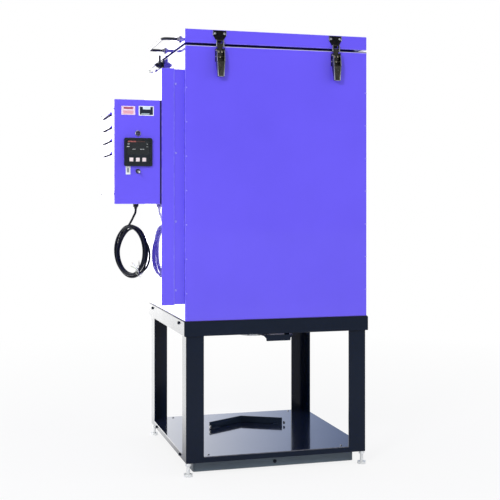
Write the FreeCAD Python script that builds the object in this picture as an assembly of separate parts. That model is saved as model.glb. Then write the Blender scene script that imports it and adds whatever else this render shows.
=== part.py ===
import FreeCAD, Part
import math
import os

# Flux drying oven: an insulated box on an angle-iron stand, with a hinged lid, a bottom hopper
# with a slide gate, and a control box on its left side. Millimetres, X right, Y back, Z up.
# The pieces are modelled about the middle of the stand, and placed() moves them to the origin.

V = FreeCAD.Vector
X_AXIS = V(1, 0, 0)
Y_AXIS = V(0, 1, 0)
Z_AXIS = V(0, 0, 1)
RUNNING_CLEARANCE = 0.06
SEAT_GAP = 0.3

# Stand
STAND_WIDTH = 680.0
STAND_DEPTH = 685.0
STAND_HEIGHT = 536.0
TOP_RAIL_LEG = 50.0
TOP_RAIL_THICKNESS = 8.0
LEG_LEG = 63.5
LEG_THICKNESS = 5.0
BOTTOM_RAIL_HEIGHT = 18.0
BOTTOM_RAIL_WIDTH = 50.0
BOTTOM_RAIL_THICKNESS = 5.0
SHELF_THICKNESS = 3.0
FOOT_HEIGHT = 6.5
FOOT_RADIUS = 15.0
FOOT_DISC_HEIGHT = 9.0
FOOT_STEM_RADIUS = 6.0
FOOT_NUT_RADIUS = 11.0
FOOT_NUT_HEIGHT = 9.0
FOOT_CORNER_INSET = 10.0
PLINTH_HEIGHT = 39.5
PLINTH_SIDE_INSET = 41.0
PLINTH_FRONT_INSET = 45.0
PLINTH_THICKNESS = 3.0
PLINTH_CORNER_RADIUS = 8.0

# Pail stop on the shelf
STOP_HALF_SPREAD = 146.0
STOP_ENDS_BACK = 80.0
STOP_APEX_BACK = 160.0
STOP_HEIGHT = 25.0
STOP_THICKNESS = 6.0
STOP_TAB_LENGTH = 34.0
STOP_TAB_WIDTH = 24.0
STOP_TAB_THICKNESS = 5.0

# Oven body
BODY_INSET = 4.0
BODY_HEIGHT = 957.5
WALL_THICKNESS = 75.0
BASE_PLATE_THICKNESS = 10.0
RIM_THICKNESS = 12.0
PANEL_EDGE_RADIUS = 3.0
RIM_EDGE_RADIUS = 2.0

# Hopper, neck, slide gate and outlet
HOPPER_TOP_ABOVE_BASE = 314.0
HOPPER_COLLAR_HEIGHT = 20.0
HOPPER_DROP = 220.0
HOPPER_THICKNESS = 4.0
NECK_BORE = 100.0
NECK_WALL = 3.0
NECK_CLEARANCE = 1.0
NECK_FLANGE_WIDTH = 152.0
FLANGE_THICKNESS = 5.0
GATE_THICKNESS = 3.0
GATE_WIDTH = 139.0
GATE_SLOT_CLEARANCE = 0.5
GATE_BELOW_RAIL = 5.0
GATE_REAR_LAP = 12.0
GATE_TAB_WIDTH = 89.0
GATE_TAB_DROP = 18.0
GATE_TAB_THICKNESS = 4.0
GATE_TAB_CHAMFER = 2.0
GATE_TAB_FLARE = 9.0
RUNNER_WALL = 6.0
RUNNER_LAP = 8.0
RUNNER_LIP = 4.5
RUNNER_FRONT_GAP = 110.0
RUNNER_REAR_LAP = 25.0
HANGER_DEPTH = 20.0
SPOUT_BORE_RADIUS = 50.0
SPOUT_WALL = 3.0
SPOUT_LENGTH = 27.0

# Lid
LID_GAP = 7.0
LID_THICKNESS = 47.5
LID_EDGE_RADIUS = 3.0
GASKET_INSET = 25.0
GASKET_WIDTH = 20.0
PLUG_DEPTH = 40.0
PLUG_GAP = 8.0
PLUG_TAPER = 5.0

# Lid hinges on the back
HINGE_SPACING = 420.0
HINGE_WIDTH = 110.0
HINGE_AXIS_OUT = 8.0
KNUCKLE_RADIUS = 6.0
KNUCKLE_GAP = 1.0
HINGE_PIN_RADIUS = 3.0
LEAF_THICKNESS = 2.5
LEAF_HEIGHT = 36.0
LEAF_STAND_OFF = 8.0

# Lid side handle
HANDLE_FRONT = 85.0
HANDLE_LENGTH = 275.0
HANDLE_REACH = 62.0
HANDLE_ROD_RADIUS = 5.0
HANDLE_BEND_RADIUS = 16.0
HANDLE_FOOT_RADIUS = 12.0
HANDLE_FOOT_THICKNESS = 4.0

# Draw latches on the front: heights are below the body's top, reaches are out from its face
LATCH_EDGE_INSET = 122.0
LATCH_PIVOT_DROP = 18.5
LATCH_PIVOT_REACH = 13.0
LATCH_LINK_PIN_DROP = 21.0
LATCH_LINK_PIN_REACH = 8.0
LATCH_PIN_RADIUS = 2.5
LATCH_BASE_THICKNESS = 2.5
LATCH_BASE_WIDTH = 32.0
LATCH_BASE_HEIGHT = 44.0
LATCH_EAR_THICKNESS = 2.5
LATCH_EAR_RADIUS = 6.5
LATCH_EAR_FOOT_DROP = 10.4
RIVET_HEAD = 1.0
LEVER_WIDTH = 29.0
LEVER_TIP_WIDTH = 23.0
LEVER_SHEET = 2.0
LEVER_SIDE_GAP = 0.5
LEVER_HEAD_RADIUS = 8.5
LEVER_PROUD = 27.0
LEVER_LENGTH = 92.0
LEVER_WEB_START = 39.0
LEVER_TIP_DEPTH = 8.0
LINK_THICKNESS = 2.5
LINK_SIDE_GAP = 0.5
LINK_EYE_RADIUS = 4.5
LINK_HEAD_WIDTH = 27.0
LINK_HEAD_START = 34.0
LINK_HEAD_END = 59.0
LINK_WINDOW_WIDTH = 17.0
LINK_WINDOW_HEIGHT = 9.0
LINK_WINDOW_MARGIN = 4.0
KEEPER_TOP_WIDTH = 48.0
KEEPER_BOTTOM_WIDTH = 27.0
KEEPER_THICKNESS = 2.5
KEEPER_TOP_MARGIN = 2.0
KEEPER_TONGUE_WIDTH = 14.0
KEEPER_TONGUE_DROP = 10.0
KEEPER_TONGUE_PROUD = 3.75

# Side housing on the left wall, measured back from the front face and out from the wall
HOUSING_FRONT = 12.0
HOUSING_LENGTH = 338.0
HOUSING_ABOVE_STAND = 61.0
HOUSING_BELOW_TOP = 85.5
HOUSING_BASE_DEPTH = 36.0
HOUSING_COVER_DEPTH = 44.0
HOUSING_COVER_LAP = 2.5

# Control box on the side housing
CONTROL_DEPTH = 163.0
CONTROL_BOTTOM = 943.0
CONTROL_HEIGHT = 356.0
CONTROL_COVER_THICKNESS = 2.0
SHADOW_GAP_DEPTH = 3.0
SHADOW_GAP_WIDTH = 4.0
LOUVRE_FIRST_BELOW_TOP = 41.0
LOUVRE_PITCH = 45.7
LOUVRE_COUNT = 4
LOUVRE_LENGTH = 199.0
LOUVRE_HEIGHT = 11.0
LOUVRE_PROUD = 5.0
CONTROLLER_SIZE = 96.0
CONTROLLER_PROUD = 9.0
CONTROLLER_CORNER = 5.0
CONTROLLER_FRAME = 7.0
CONTROLLER_RECESS = 2.0
CONTROLLER_BELOW_TOP = 179.0
BUTTON_RADIUS = 5.5
BUTTON_PITCH = 22.0
BUTTON_DROP = 26.0
BUTTON_PROUD = 1.5
LAMP_RADIUS = 7.0
LAMP_BEZEL_RADIUS = 9.5
LAMP_BEZEL_THICKNESS = 2.5
LAMP_BELOW_TOP = 115.0
SWITCH_BELOW_TOP = 244.0
SWITCH_BUSH_RADIUS = 6.0
SWITCH_BUSH_LENGTH = 8.0
SWITCH_NUT_RADIUS = 9.0
SWITCH_NUT_THICKNESS = 2.5
SWITCH_BAT_LENGTH = 17.0
SWITCH_BAT_ROOT_RADIUS = 1.8
SWITCH_BAT_TIP_RADIUS = 3.2
SWITCH_BALL_RADIUS = 3.0
SWITCH_BAT_TILT = 12.0

# Cable gland and power cord
GLAND_OUT = 124.0
GLAND_BACK = 291.0
GLAND_HEX_RADIUS = 11.0
GLAND_HEX_HEIGHT = 6.0
GLAND_DOME_RADIUS = 9.0
GLAND_HEIGHT = 18.0
GLAND_NOSE_WALL = 1.0
CORD_RADIUS = 4.0
CORD_RUN = [(0.0, 0.0, 0.0), (0.0, 0.0, -14.0), (-4.0, 3.0, -29.0), (-11.0, 8.0, -44.0), (-16.0, 12.0, -62.0)]
COIL_OUT = 140.0
COIL_BACK = 303.0
COIL_CENTRE_HEIGHT = 768.0
COIL_MEAN_RADIUS = 89.0
COIL_BUNDLE_RADIUS = 11.0
COIL_TURN_DEG = 63.0

# Side clamp lever on the left wall
CLAMP_AHEAD_OF_BACK = 274.0
CLAMP_DROP = 18.5
CLAMP_LENGTH = 190.0
CLAMP_PLATE_WIDTH = 46.0
CLAMP_PLATE_HEIGHT = 36.0
CLAMP_PLATE_THICKNESS = 5.0
CLAMP_BOLT_RADIUS = 6.0
CLAMP_BOLT_REACH = 29.5
CLAMP_NUT_RADIUS = 10.0
CLAMP_NUT_THICKNESS = 6.0
CLAMP_NUT_GAP = 1.0
CLAMP_HUB_RADIUS = 14.0
CLAMP_HUB_START = 6.5
CLAMP_HUB_THICKNESS = 14.0
CLAMP_ROD_RADIUS = 6.0
CLAMP_KNOB_RADIUS = 10.0
CLAMP_FINGER_WIDTH = 10.0
CLAMP_FINGER_THICKNESS = 8.0
CLAMP_FINGER_RISE = 37.0

# Worked-out sizes
BODY_WIDTH = STAND_WIDTH - 2 * BODY_INSET
BODY_DEPTH = STAND_DEPTH - 2 * BODY_INSET
BODY_LEFT = -BODY_WIDTH / 2
BODY_FRONT = -BODY_DEPTH / 2
BODY_BACK = BODY_DEPTH / 2
BODY_TOP = STAND_HEIGHT + BODY_HEIGHT
WALL_BOTTOM = STAND_HEIGHT + BASE_PLATE_THICKNESS
WALL_TOP = BODY_TOP - RIM_THICKNESS
CAVITY_WIDTH = BODY_WIDTH - 2 * WALL_THICKNESS
CAVITY_DEPTH = BODY_DEPTH - 2 * WALL_THICKNESS
PLINTH_TOP = FOOT_HEIGHT + PLINTH_HEIGHT
SHELF_BOTTOM = PLINTH_TOP + BOTTOM_RAIL_HEIGHT
SHELF_TOP = SHELF_BOTTOM + SHELF_THICKNESS
FRAME_WIDTH = STAND_WIDTH - 2 * TOP_RAIL_THICKNESS
FRAME_DEPTH = STAND_DEPTH - 2 * TOP_RAIL_THICKNESS
HOPPER_TOP = STAND_HEIGHT + HOPPER_TOP_ABOVE_BASE
HOPPER_SLOPE_TOP = HOPPER_TOP - HOPPER_COLLAR_HEIGHT
HOPPER_BOTTOM = HOPPER_SLOPE_TOP - HOPPER_DROP
NECK_WIDTH = NECK_BORE + 2 * NECK_WALL
GATE_TOP = STAND_HEIGHT - TOP_RAIL_LEG - GATE_BELOW_RAIL
GATE_BOTTOM = GATE_TOP - GATE_THICKNESS
SLOT_TOP = GATE_TOP + GATE_SLOT_CLEARANCE
SLOT_BOTTOM = GATE_BOTTOM - GATE_SLOT_CLEARANCE
RUNNER_TOP = SLOT_TOP + RUNNER_LIP
RUNNER_BOTTOM = SLOT_BOTTOM - RUNNER_LIP
RUNNER_GROOVE = GATE_WIDTH / 2 + GATE_SLOT_CLEARANCE
LID_BOTTOM = BODY_TOP + LID_GAP
LID_TOP = LID_BOTTOM + LID_THICKNESS
HINGE_Y = BODY_BACK + HINGE_AXIS_OUT
HINGE_Z = BODY_TOP + LID_GAP / 2
LATCH_PIVOT_Z = BODY_TOP - LATCH_PIVOT_DROP
LATCH_CENTRE = BODY_WIDTH / 2 - LATCH_EDGE_INSET
HOUSING_DEPTH = HOUSING_BASE_DEPTH + HOUSING_COVER_DEPTH
HOUSING_LEFT = BODY_LEFT - HOUSING_DEPTH
HOUSING_BOTTOM = STAND_HEIGHT + HOUSING_ABOVE_STAND
HOUSING_TOP = BODY_TOP - HOUSING_BELOW_TOP
CONTROL_LEFT = HOUSING_LEFT - CONTROL_DEPTH
CONTROL_MIDDLE = HOUSING_LEFT - CONTROL_DEPTH / 2
CONTROL_FRONT = BODY_FRONT + HOUSING_FRONT
CONTROL_TOP = CONTROL_BOTTOM + CONTROL_HEIGHT
GLAND_X = BODY_LEFT - GLAND_OUT
GLAND_Y = BODY_FRONT + GLAND_BACK
CLAMP_Y = BODY_BACK - CLAMP_AHEAD_OF_BACK
CLAMP_Z = BODY_TOP - CLAMP_DROP
LEFT_REACH = CONTROL_LEFT - LOUVRE_PROUD
RIGHT_REACH = STAND_WIDTH / 2
FRONT_REACH = BODY_FRONT - LEVER_PROUD
BACK_REACH = HINGE_Y + KNUCKLE_RADIUS
ORIGIN = V((LEFT_REACH + RIGHT_REACH) / 2, (FRONT_REACH + BACK_REACH) / 2, 0)


def box(x0, x1, y0, y1, z0, z1):
    """A box between two corners."""
    return Part.makeBox(x1 - x0, y1 - y0, z1 - z0, V(x0, y0, z0))


def slab(width, depth, z0, z1):
    """A box centred on the Z axis."""
    return box(-width / 2, width / 2, -depth / 2, depth / 2, z0, z1)


def rod(start, along, length, radius):
    """A round bar from a point along a direction."""
    return Part.makeCylinder(radius, length, start, along)


def prism(points, along):
    """A flat outline pushed along a vector."""
    return Part.Face(Part.makePolygon(points + points[:1])).extrude(along)


def outline(corners):
    """A closed wire through corners."""
    return Part.makePolygon(corners + corners[:1])


def rectangle(width, depth, z):
    """A closed rectangle centred on the Z axis."""
    return outline([V(-width / 2, -depth / 2, z), V(width / 2, -depth / 2, z),
                    V(width / 2, depth / 2, z), V(-width / 2, depth / 2, z)])


def frustum(width_low, depth_low, z_low, width_high, depth_high, z_high):
    """A four-sided solid between two centred rectangles."""
    ends = [rectangle(width_low, depth_low, z_low), rectangle(width_high, depth_high, z_high)]
    return Part.makeLoft(ends, True, True)


def round_upright_edges(shape, radius):
    """Round the edges that run straight up."""
    upright = []
    for edge in shape.Edges:
        low, high = edge.Vertexes[0].Point, edge.Vertexes[-1].Point
        if abs(low.x - high.x) < 1e-6 and abs(low.y - high.y) < 1e-6:
            upright.append(edge)
    return shape.makeFillet(radius, upright)


def round_body_corners(shape, radius):
    """Round the upright edges that stand at the oven body's four outer corners."""
    corners = []
    for edge in shape.Edges:
        low, high = edge.Vertexes[0].Point, edge.Vertexes[-1].Point
        upright = abs(low.x - high.x) < 1e-6 and abs(low.y - high.y) < 1e-6
        if upright and abs(abs(low.x) - BODY_WIDTH / 2) < 1e-6 and abs(abs(low.y) - BODY_DEPTH / 2) < 1e-6:
            corners.append(edge)
    return shape.makeFillet(radius, corners)


def turned(shape, quarter_turns):
    """A copy turned about the stand's middle."""
    copy = shape.copy()
    copy.rotate(V(0, 0, 0), Z_AXIS, 90.0 * quarter_turns)
    return copy


def angle_rail(length, leg, height, thickness):
    """An angle along X with mitred ends: its outer corner is at Y 0, Z 0 and its legs point +Y and -Z."""
    section = [V(-length / 2, 0, 0), V(-length / 2, leg, 0), V(-length / 2, leg, -thickness),
               V(-length / 2, thickness, -thickness), V(-length / 2, thickness, -height), V(-length / 2, 0, -height)]
    bar = prism(section, V(length, 0, 0))
    mitre = prism([V(-length / 2, 0, -height), V(length / 2, 0, -height),
                   V(length / 2 - leg, leg, -height), V(-length / 2 + leg, leg, -height)], V(0, 0, height))
    return bar.common(mitre)


def top_rails():
    """Four mitred angles that carry the oven body, one per side."""
    along_x = angle_rail(STAND_WIDTH, TOP_RAIL_LEG, TOP_RAIL_LEG, TOP_RAIL_THICKNESS)
    along_y = angle_rail(STAND_DEPTH, TOP_RAIL_LEG, TOP_RAIL_LEG, TOP_RAIL_THICKNESS)
    sides = {"front": (along_x, 0, STAND_DEPTH), "right": (along_y, 1, STAND_WIDTH),
             "back": (along_x, 2, STAND_DEPTH), "left": (along_y, 3, STAND_WIDTH)}
    rails = {}
    for side, (rail, quarter_turns, across) in sides.items():
        placed_rail = rail.copy()
        placed_rail.translate(V(0, -across / 2, STAND_HEIGHT))
        rails["top_rail_" + side] = turned(placed_rail, quarter_turns)
    return rails


def leg_section(x_sign, y_sign, grow, z0, z1):
    """One leg's angle section between two heights, grown by a clearance for cutting."""
    x_out, y_out = FRAME_WIDTH / 2, FRAME_DEPTH / 2
    flange_x = box(x_out - LEG_LEG - grow, x_out + grow, y_out - LEG_THICKNESS - grow, y_out + grow, z0, z1)
    flange_y = box(x_out - LEG_THICKNESS - grow, x_out + grow, y_out - LEG_LEG - grow, y_out + grow, z0, z1)
    leg = flange_x.fuse(flange_y).removeSplitter()
    if x_sign < 0:
        leg = leg.mirror(V(0, 0, 0), X_AXIS)
    if y_sign < 0:
        leg = leg.mirror(V(0, 0, 0), Y_AXIS)
    return leg


def stand_legs():
    """Four angle legs, inside the top rails' corners."""
    legs = {}
    for y_sign, row in ((-1, "front"), (1, "back")):
        for x_sign, side in ((-1, "left"), (1, "right")):
            name = "stand_leg_%s_%s" % (row, side)
            legs[name] = leg_section(x_sign, y_sign, 0.0, PLINTH_TOP, STAND_HEIGHT - TOP_RAIL_THICKNESS)
    return legs


def bottom_rails():
    """Four angles between the legs that carry the shelf, toe down on the plinth."""
    rails = {}
    spans = {"front": (FRAME_WIDTH, FRAME_DEPTH, 0), "right": (FRAME_DEPTH, FRAME_WIDTH, 1),
             "back": (FRAME_WIDTH, FRAME_DEPTH, 2), "left": (FRAME_DEPTH, FRAME_WIDTH, 3)}
    for side, (span, across, quarter_turns) in spans.items():
        half = span / 2 - LEG_LEG
        face = -across / 2
        upright = box(-half, half, face, face + BOTTOM_RAIL_THICKNESS, PLINTH_TOP, SHELF_BOTTOM)
        flat = box(-half, half, face, face + BOTTOM_RAIL_WIDTH, PLINTH_TOP, PLINTH_TOP + BOTTOM_RAIL_THICKNESS)
        rails["bottom_rail_" + side] = turned(upright.fuse(flat).removeSplitter(), quarter_turns)
    return rails


def shelf():
    """The sheet that a pail stands on, notched round the legs."""
    sheet = slab(FRAME_WIDTH, FRAME_DEPTH, SHELF_BOTTOM, SHELF_TOP)
    for x_sign in (-1, 1):
        for y_sign in (-1, 1):
            sheet = sheet.cut(leg_section(x_sign, y_sign, SEAT_GAP, SHELF_BOTTOM, SHELF_TOP))
    return sheet


def plinth():
    """The recessed pan under the stand, open below."""
    width = STAND_WIDTH - 2 * PLINTH_SIDE_INSET
    depth = STAND_DEPTH - 2 * PLINTH_FRONT_INSET
    pan = round_upright_edges(slab(width, depth, FOOT_HEIGHT, PLINTH_TOP), PLINTH_CORNER_RADIUS)
    inner_width, inner_depth = width - 2 * PLINTH_THICKNESS, depth - 2 * PLINTH_THICKNESS
    hollow = slab(inner_width, inner_depth, FOOT_HEIGHT, PLINTH_TOP - PLINTH_THICKNESS)
    return pan.cut(round_upright_edges(hollow, PLINTH_CORNER_RADIUS - PLINTH_THICKNESS))


def levelling_feet():
    """Four discs on threaded stems, locked by a nut under each leg's corner."""
    x_out = FRAME_WIDTH / 2 - FOOT_CORNER_INSET
    y_out = FRAME_DEPTH / 2 - FOOT_CORNER_INSET
    feet = []
    for x in (-x_out, x_out):
        for y in (-y_out, y_out):
            disc = rod(V(x, y, 0), Z_AXIS, FOOT_DISC_HEIGHT, FOOT_RADIUS)
            stem = rod(V(x, y, 0), Z_AXIS, PLINTH_TOP, FOOT_STEM_RADIUS)
            nut = prism([V(x + FOOT_NUT_RADIUS * math.cos(math.radians(60 * side)),
                           y + FOOT_NUT_RADIUS * math.sin(math.radians(60 * side)), PLINTH_TOP - FOOT_NUT_HEIGHT)
                         for side in range(6)], V(0, 0, FOOT_NUT_HEIGHT))
            feet.append(disc.fuse([stem, nut]))
    return Part.makeCompound(feet)


def pail_stop():
    """A bar bent to a V that stops a pail under the outlet, with a foot tab at each end."""
    run = V(STOP_HALF_SPREAD, STOP_APEX_BACK - STOP_ENDS_BACK, 0)
    run.normalize()
    outward = V(-run.y, run.x, 0)
    end = V(-STOP_HALF_SPREAD, STOP_ENDS_BACK, SHELF_TOP)
    apex = V(0, STOP_APEX_BACK, SHELF_TOP)
    outer_end = end + outward * STOP_THICKNESS
    outer_apex = apex + V(0, STOP_THICKNESS / run.x, 0)
    mirrored_end = V(-end.x, end.y, end.z)
    mirrored_outer = V(-outer_end.x, outer_end.y, outer_end.z)
    bar = prism([end, apex, mirrored_end, mirrored_outer, outer_apex, outer_end], V(0, 0, STOP_HEIGHT))
    tab_back = end + run * STOP_TAB_LENGTH
    tab_side = outward * -STOP_TAB_WIDTH
    tab = prism([end, tab_back, tab_back + tab_side, end + tab_side], V(0, 0, STOP_TAB_THICKNESS))
    return bar.fuse([tab, tab.mirror(V(0, 0, 0), X_AXIS)]).removeSplitter()


def body_walls():
    """Four insulated wall panels: front and back full width, the sides between them."""
    half_width = BODY_WIDTH / 2
    front = box(-half_width, half_width, BODY_FRONT, BODY_FRONT + WALL_THICKNESS, WALL_BOTTOM, WALL_TOP)
    front = round_body_corners(front, PANEL_EDGE_RADIUS)
    side = box(BODY_LEFT, BODY_LEFT + WALL_THICKNESS, -CAVITY_DEPTH / 2, CAVITY_DEPTH / 2, WALL_BOTTOM, WALL_TOP)
    return {"front_wall": front, "back_wall": turned(front, 2),
            "left_wall": side, "right_wall": turned(side, 2)}


def rim_frame():
    """The rim that the lid's gasket closes on."""
    ring = round_body_corners(slab(BODY_WIDTH, BODY_DEPTH, WALL_TOP, BODY_TOP), PANEL_EDGE_RADIUS)
    top_edges = [edge for edge in ring.Edges if edge.BoundBox.ZMin > BODY_TOP - 0.1]
    ring = ring.makeFillet(RIM_EDGE_RADIUS, top_edges)
    return ring.cut(slab(CAVITY_WIDTH, CAVITY_DEPTH, WALL_TOP, BODY_TOP))


def base_plate():
    """The floor plate of the body, with a hole for the hopper's neck."""
    hole = NECK_WIDTH + 2 * NECK_CLEARANCE
    plate = round_body_corners(slab(BODY_WIDTH, BODY_DEPTH, STAND_HEIGHT, WALL_BOTTOM), PANEL_EDGE_RADIUS)
    return plate.cut(slab(hole, hole, STAND_HEIGHT, WALL_BOTTOM))


def mitred_strip(outer_width, outer_depth, inner_width, inner_depth, z):
    """The front quarter of a rectangular ring, cut at 45 degrees where it meets its neighbours."""
    return outline([V(-outer_width / 2, -outer_depth / 2, z), V(outer_width / 2, -outer_depth / 2, z),
                    V(inner_width / 2, -inner_depth / 2, z), V(-inner_width / 2, -inner_depth / 2, z)])


def hopper():
    """A four-sided funnel of welded plates under a collar that fits the cavity."""
    plates = []
    for quarter_turns in range(4):
        across, along = CAVITY_WIDTH, CAVITY_DEPTH
        if quarter_turns % 2:
            across, along = along, across
        inner = (across - 2 * HOPPER_THICKNESS, along - 2 * HOPPER_THICKNESS)
        mouth = mitred_strip(across, along, *inner, HOPPER_SLOPE_TOP)
        throat = mitred_strip(NECK_WIDTH, NECK_WIDTH, NECK_BORE, NECK_BORE, HOPPER_BOTTOM)
        plates.append(turned(Part.makeLoft([throat, mouth], True, True), quarter_turns))
        plates.append(turned(Part.Face(mouth).extrude(V(0, 0, HOPPER_COLLAR_HEIGHT)), quarter_turns))
    return Part.makeCompound(plates)


def outlet_neck():
    """The square duct from the hopper down to the gate, with a flange over the runners."""
    tube = slab(NECK_WIDTH, NECK_WIDTH, SLOT_TOP, HOPPER_BOTTOM)
    flange = slab(NECK_FLANGE_WIDTH, NECK_FLANGE_WIDTH, RUNNER_TOP, RUNNER_TOP + FLANGE_THICKNESS)
    return tube.fuse(flange).cut(slab(NECK_BORE, NECK_BORE, SLOT_TOP, HOPPER_BOTTOM)).removeSplitter()


def gate_runners():
    """Two grooved bars that carry the gate, hung from the base plate and held by the neck's flange."""
    inner = RUNNER_GROOVE - RUNNER_LAP
    outer = RUNNER_GROOVE + RUNNER_WALL
    front = -STAND_DEPTH / 2 + RUNNER_FRONT_GAP
    back = NECK_BORE / 2 + RUNNER_REAR_LAP
    bar = box(inner, outer, front, back, RUNNER_BOTTOM, RUNNER_TOP)
    groove = box(inner, RUNNER_GROOVE, front, back, SLOT_BOTTOM, SLOT_TOP)
    hanger = box(inner, outer, front, front + HANGER_DEPTH, RUNNER_TOP, STAND_HEIGHT)
    runner = bar.cut(groove).fuse(hanger).removeSplitter()
    return Part.makeCompound([runner, runner.mirror(V(0, 0, 0), X_AXIS)])


def slide_gate():
    """The plate that closes the outlet: it narrows to the front, where a pull tab is turned down."""
    front = -STAND_DEPTH / 2
    runner_front = front + RUNNER_FRONT_GAP
    back = NECK_BORE / 2 + GATE_REAR_LAP
    edge, half = GATE_WIDTH / 2, GATE_TAB_WIDTH / 2
    nose = half + GATE_TAB_FLARE
    plate = prism([V(-nose, front, GATE_BOTTOM), V(nose, front, GATE_BOTTOM), V(edge, runner_front, GATE_BOTTOM),
                   V(edge, back, GATE_BOTTOM), V(-edge, back, GATE_BOTTOM), V(-edge, runner_front, GATE_BOTTOM)],
                  V(0, 0, GATE_THICKNESS))
    tab_bottom = GATE_BOTTOM - GATE_TAB_DROP
    right_side = [(nose, GATE_TOP), (nose, GATE_BOTTOM), (half, GATE_BOTTOM - GATE_TAB_FLARE),
                  (half, tab_bottom + GATE_TAB_CHAMFER), (half - GATE_TAB_CHAMFER, tab_bottom)]
    left_side = [(-x, z) for x, z in reversed(right_side)]
    tab = prism([V(x, front, z) for x, z in right_side + left_side], V(0, GATE_TAB_THICKNESS, 0))
    return plate.fuse(tab).removeSplitter()


def outlet_spout():
    """The round spout under the gate, with a square flange bolted under the runners."""
    flange_bottom = RUNNER_BOTTOM - FLANGE_THICKNESS
    outer = SPOUT_BORE_RADIUS + SPOUT_WALL
    flange = slab(NECK_FLANGE_WIDTH, NECK_FLANGE_WIDTH, flange_bottom, RUNNER_BOTTOM)
    tube = rod(V(0, 0, flange_bottom - SPOUT_LENGTH), Z_AXIS, SPOUT_LENGTH + SLOT_BOTTOM - flange_bottom, outer)
    bore = rod(V(0, 0, flange_bottom - SPOUT_LENGTH), Z_AXIS,
               SPOUT_LENGTH + SLOT_BOTTOM - flange_bottom, SPOUT_BORE_RADIUS)
    return flange.fuse(tube).cut(bore).removeSplitter()


def lid_shell():
    """The lid's folded sheet case, closed all round."""
    case = round_upright_edges(slab(BODY_WIDTH, BODY_DEPTH, LID_BOTTOM, LID_TOP), LID_EDGE_RADIUS)
    top_edges = [edge for edge in case.Edges if edge.BoundBox.ZMin > LID_TOP - 0.1]
    return case.makeFillet(LID_EDGE_RADIUS / 2, top_edges)


def lid_plug():
    """The insulated plug that fills the mouth of the cavity, tapered to swing clear."""
    width = CAVITY_WIDTH - 2 * PLUG_GAP
    depth = CAVITY_DEPTH - 2 * PLUG_GAP
    return frustum(width - 2 * PLUG_TAPER, depth - 2 * PLUG_TAPER, LID_BOTTOM - PLUG_DEPTH, width, depth, LID_BOTTOM)


def lid_gasket():
    """The rope seal under the lid, just clear of the rim."""
    width = BODY_WIDTH - 2 * GASKET_INSET
    depth = BODY_DEPTH - 2 * GASKET_INSET
    ring = slab(width, depth, BODY_TOP + SEAT_GAP, LID_BOTTOM)
    return ring.cut(slab(width - 2 * GASKET_WIDTH, depth - 2 * GASKET_WIDTH, BODY_TOP + SEAT_GAP, LID_BOTTOM))


def hinge_positions():
    """The middles of the two lid hinges."""
    return (-HINGE_SPACING / 2, HINGE_SPACING / 2)


def knuckle(x0, x1):
    """One solid hinge knuckle."""
    return rod(V(x0, HINGE_Y, HINGE_Z), X_AXIS, x1 - x0, KNUCKLE_RADIUS)


def hinge_body_leaves():
    """The fixed leaves on the back wall, with outer knuckles and pins."""
    leaves = []
    for middle in hinge_positions():
        left, right = middle - HINGE_WIDTH / 2, middle + HINGE_WIDTH / 2
        third = HINGE_WIDTH / 3
        plate_top = HINGE_Z - LEAF_STAND_OFF
        leaf = box(left, right, BODY_BACK, BODY_BACK + LEAF_THICKNESS, plate_top - LEAF_HEIGHT, plate_top)
        pieces = [rod(V(left, HINGE_Y, HINGE_Z), X_AXIS, HINGE_WIDTH, HINGE_PIN_RADIUS)]
        for x0, x1 in ((left, left + third - KNUCKLE_GAP), (right - third + KNUCKLE_GAP, right)):
            pieces.append(knuckle(x0, x1))
            pieces.append(box(x0, x1, BODY_BACK, BODY_BACK + LEAF_THICKNESS, plate_top, HINGE_Z))
        leaves.append(leaf.fuse(pieces).removeSplitter())
    return Part.makeCompound(leaves)


def hinge_lid_leaves():
    """The moving leaves on the lid's back, with middle knuckles bored for the pins."""
    leaves = []
    for middle in hinge_positions():
        left, right = middle - HINGE_WIDTH / 2, middle + HINGE_WIDTH / 2
        x0, x1 = left + HINGE_WIDTH / 3, right - HINGE_WIDTH / 3
        plate_bottom = HINGE_Z + LEAF_STAND_OFF
        leaf = box(left, right, BODY_BACK, BODY_BACK + LEAF_THICKNESS, plate_bottom, plate_bottom + LEAF_HEIGHT)
        neck = box(x0, x1, BODY_BACK, BODY_BACK + LEAF_THICKNESS, HINGE_Z, plate_bottom)
        bore = rod(V(x0, HINGE_Y, HINGE_Z), X_AXIS, x1 - x0, HINGE_PIN_RADIUS + RUNNING_CLEARANCE)
        leaves.append(leaf.fuse([neck, knuckle(x0, x1)]).cut(bore).removeSplitter())
    return Part.makeCompound(leaves)


def lid_side_handle():
    """A round bar bent to a U on the lid's left face, with a welded foot at each end."""
    z = (LID_BOTTOM + LID_TOP) / 2
    front = BODY_FRONT + HANDLE_FRONT
    rear = front + HANDLE_LENGTH
    wall, out = BODY_LEFT, BODY_LEFT - HANDLE_REACH
    bend = HANDLE_BEND_RADIUS
    slant = bend * (1 - math.sqrt(0.5))
    path = Part.Wire([
        Part.LineSegment(V(wall, front, z), V(out + bend, front, z)).toShape(),
        Part.Arc(V(out + bend, front, z), V(out + slant, front + slant, z), V(out, front + bend, z)).toShape(),
        Part.LineSegment(V(out, front + bend, z), V(out, rear - bend, z)).toShape(),
        Part.Arc(V(out, rear - bend, z), V(out + slant, rear - slant, z), V(out + bend, rear, z)).toShape(),
        Part.LineSegment(V(out + bend, rear, z), V(wall, rear, z)).toShape()])
    section = Part.Wire(Part.Circle(V(wall, front, z), X_AXIS, HANDLE_ROD_RADIUS).toShape())
    bar = path.makePipeShell([section], True, False)
    feet = [rod(V(wall, y, z), V(-1, 0, 0), HANDLE_FOOT_THICKNESS, HANDLE_FOOT_RADIUS) for y in (front, rear)]
    return bar.fuse(feet)


def latch_face(x, out, z):
    """A point given across the front face, out from it and up."""
    return V(x, BODY_FRONT - out, z)


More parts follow.
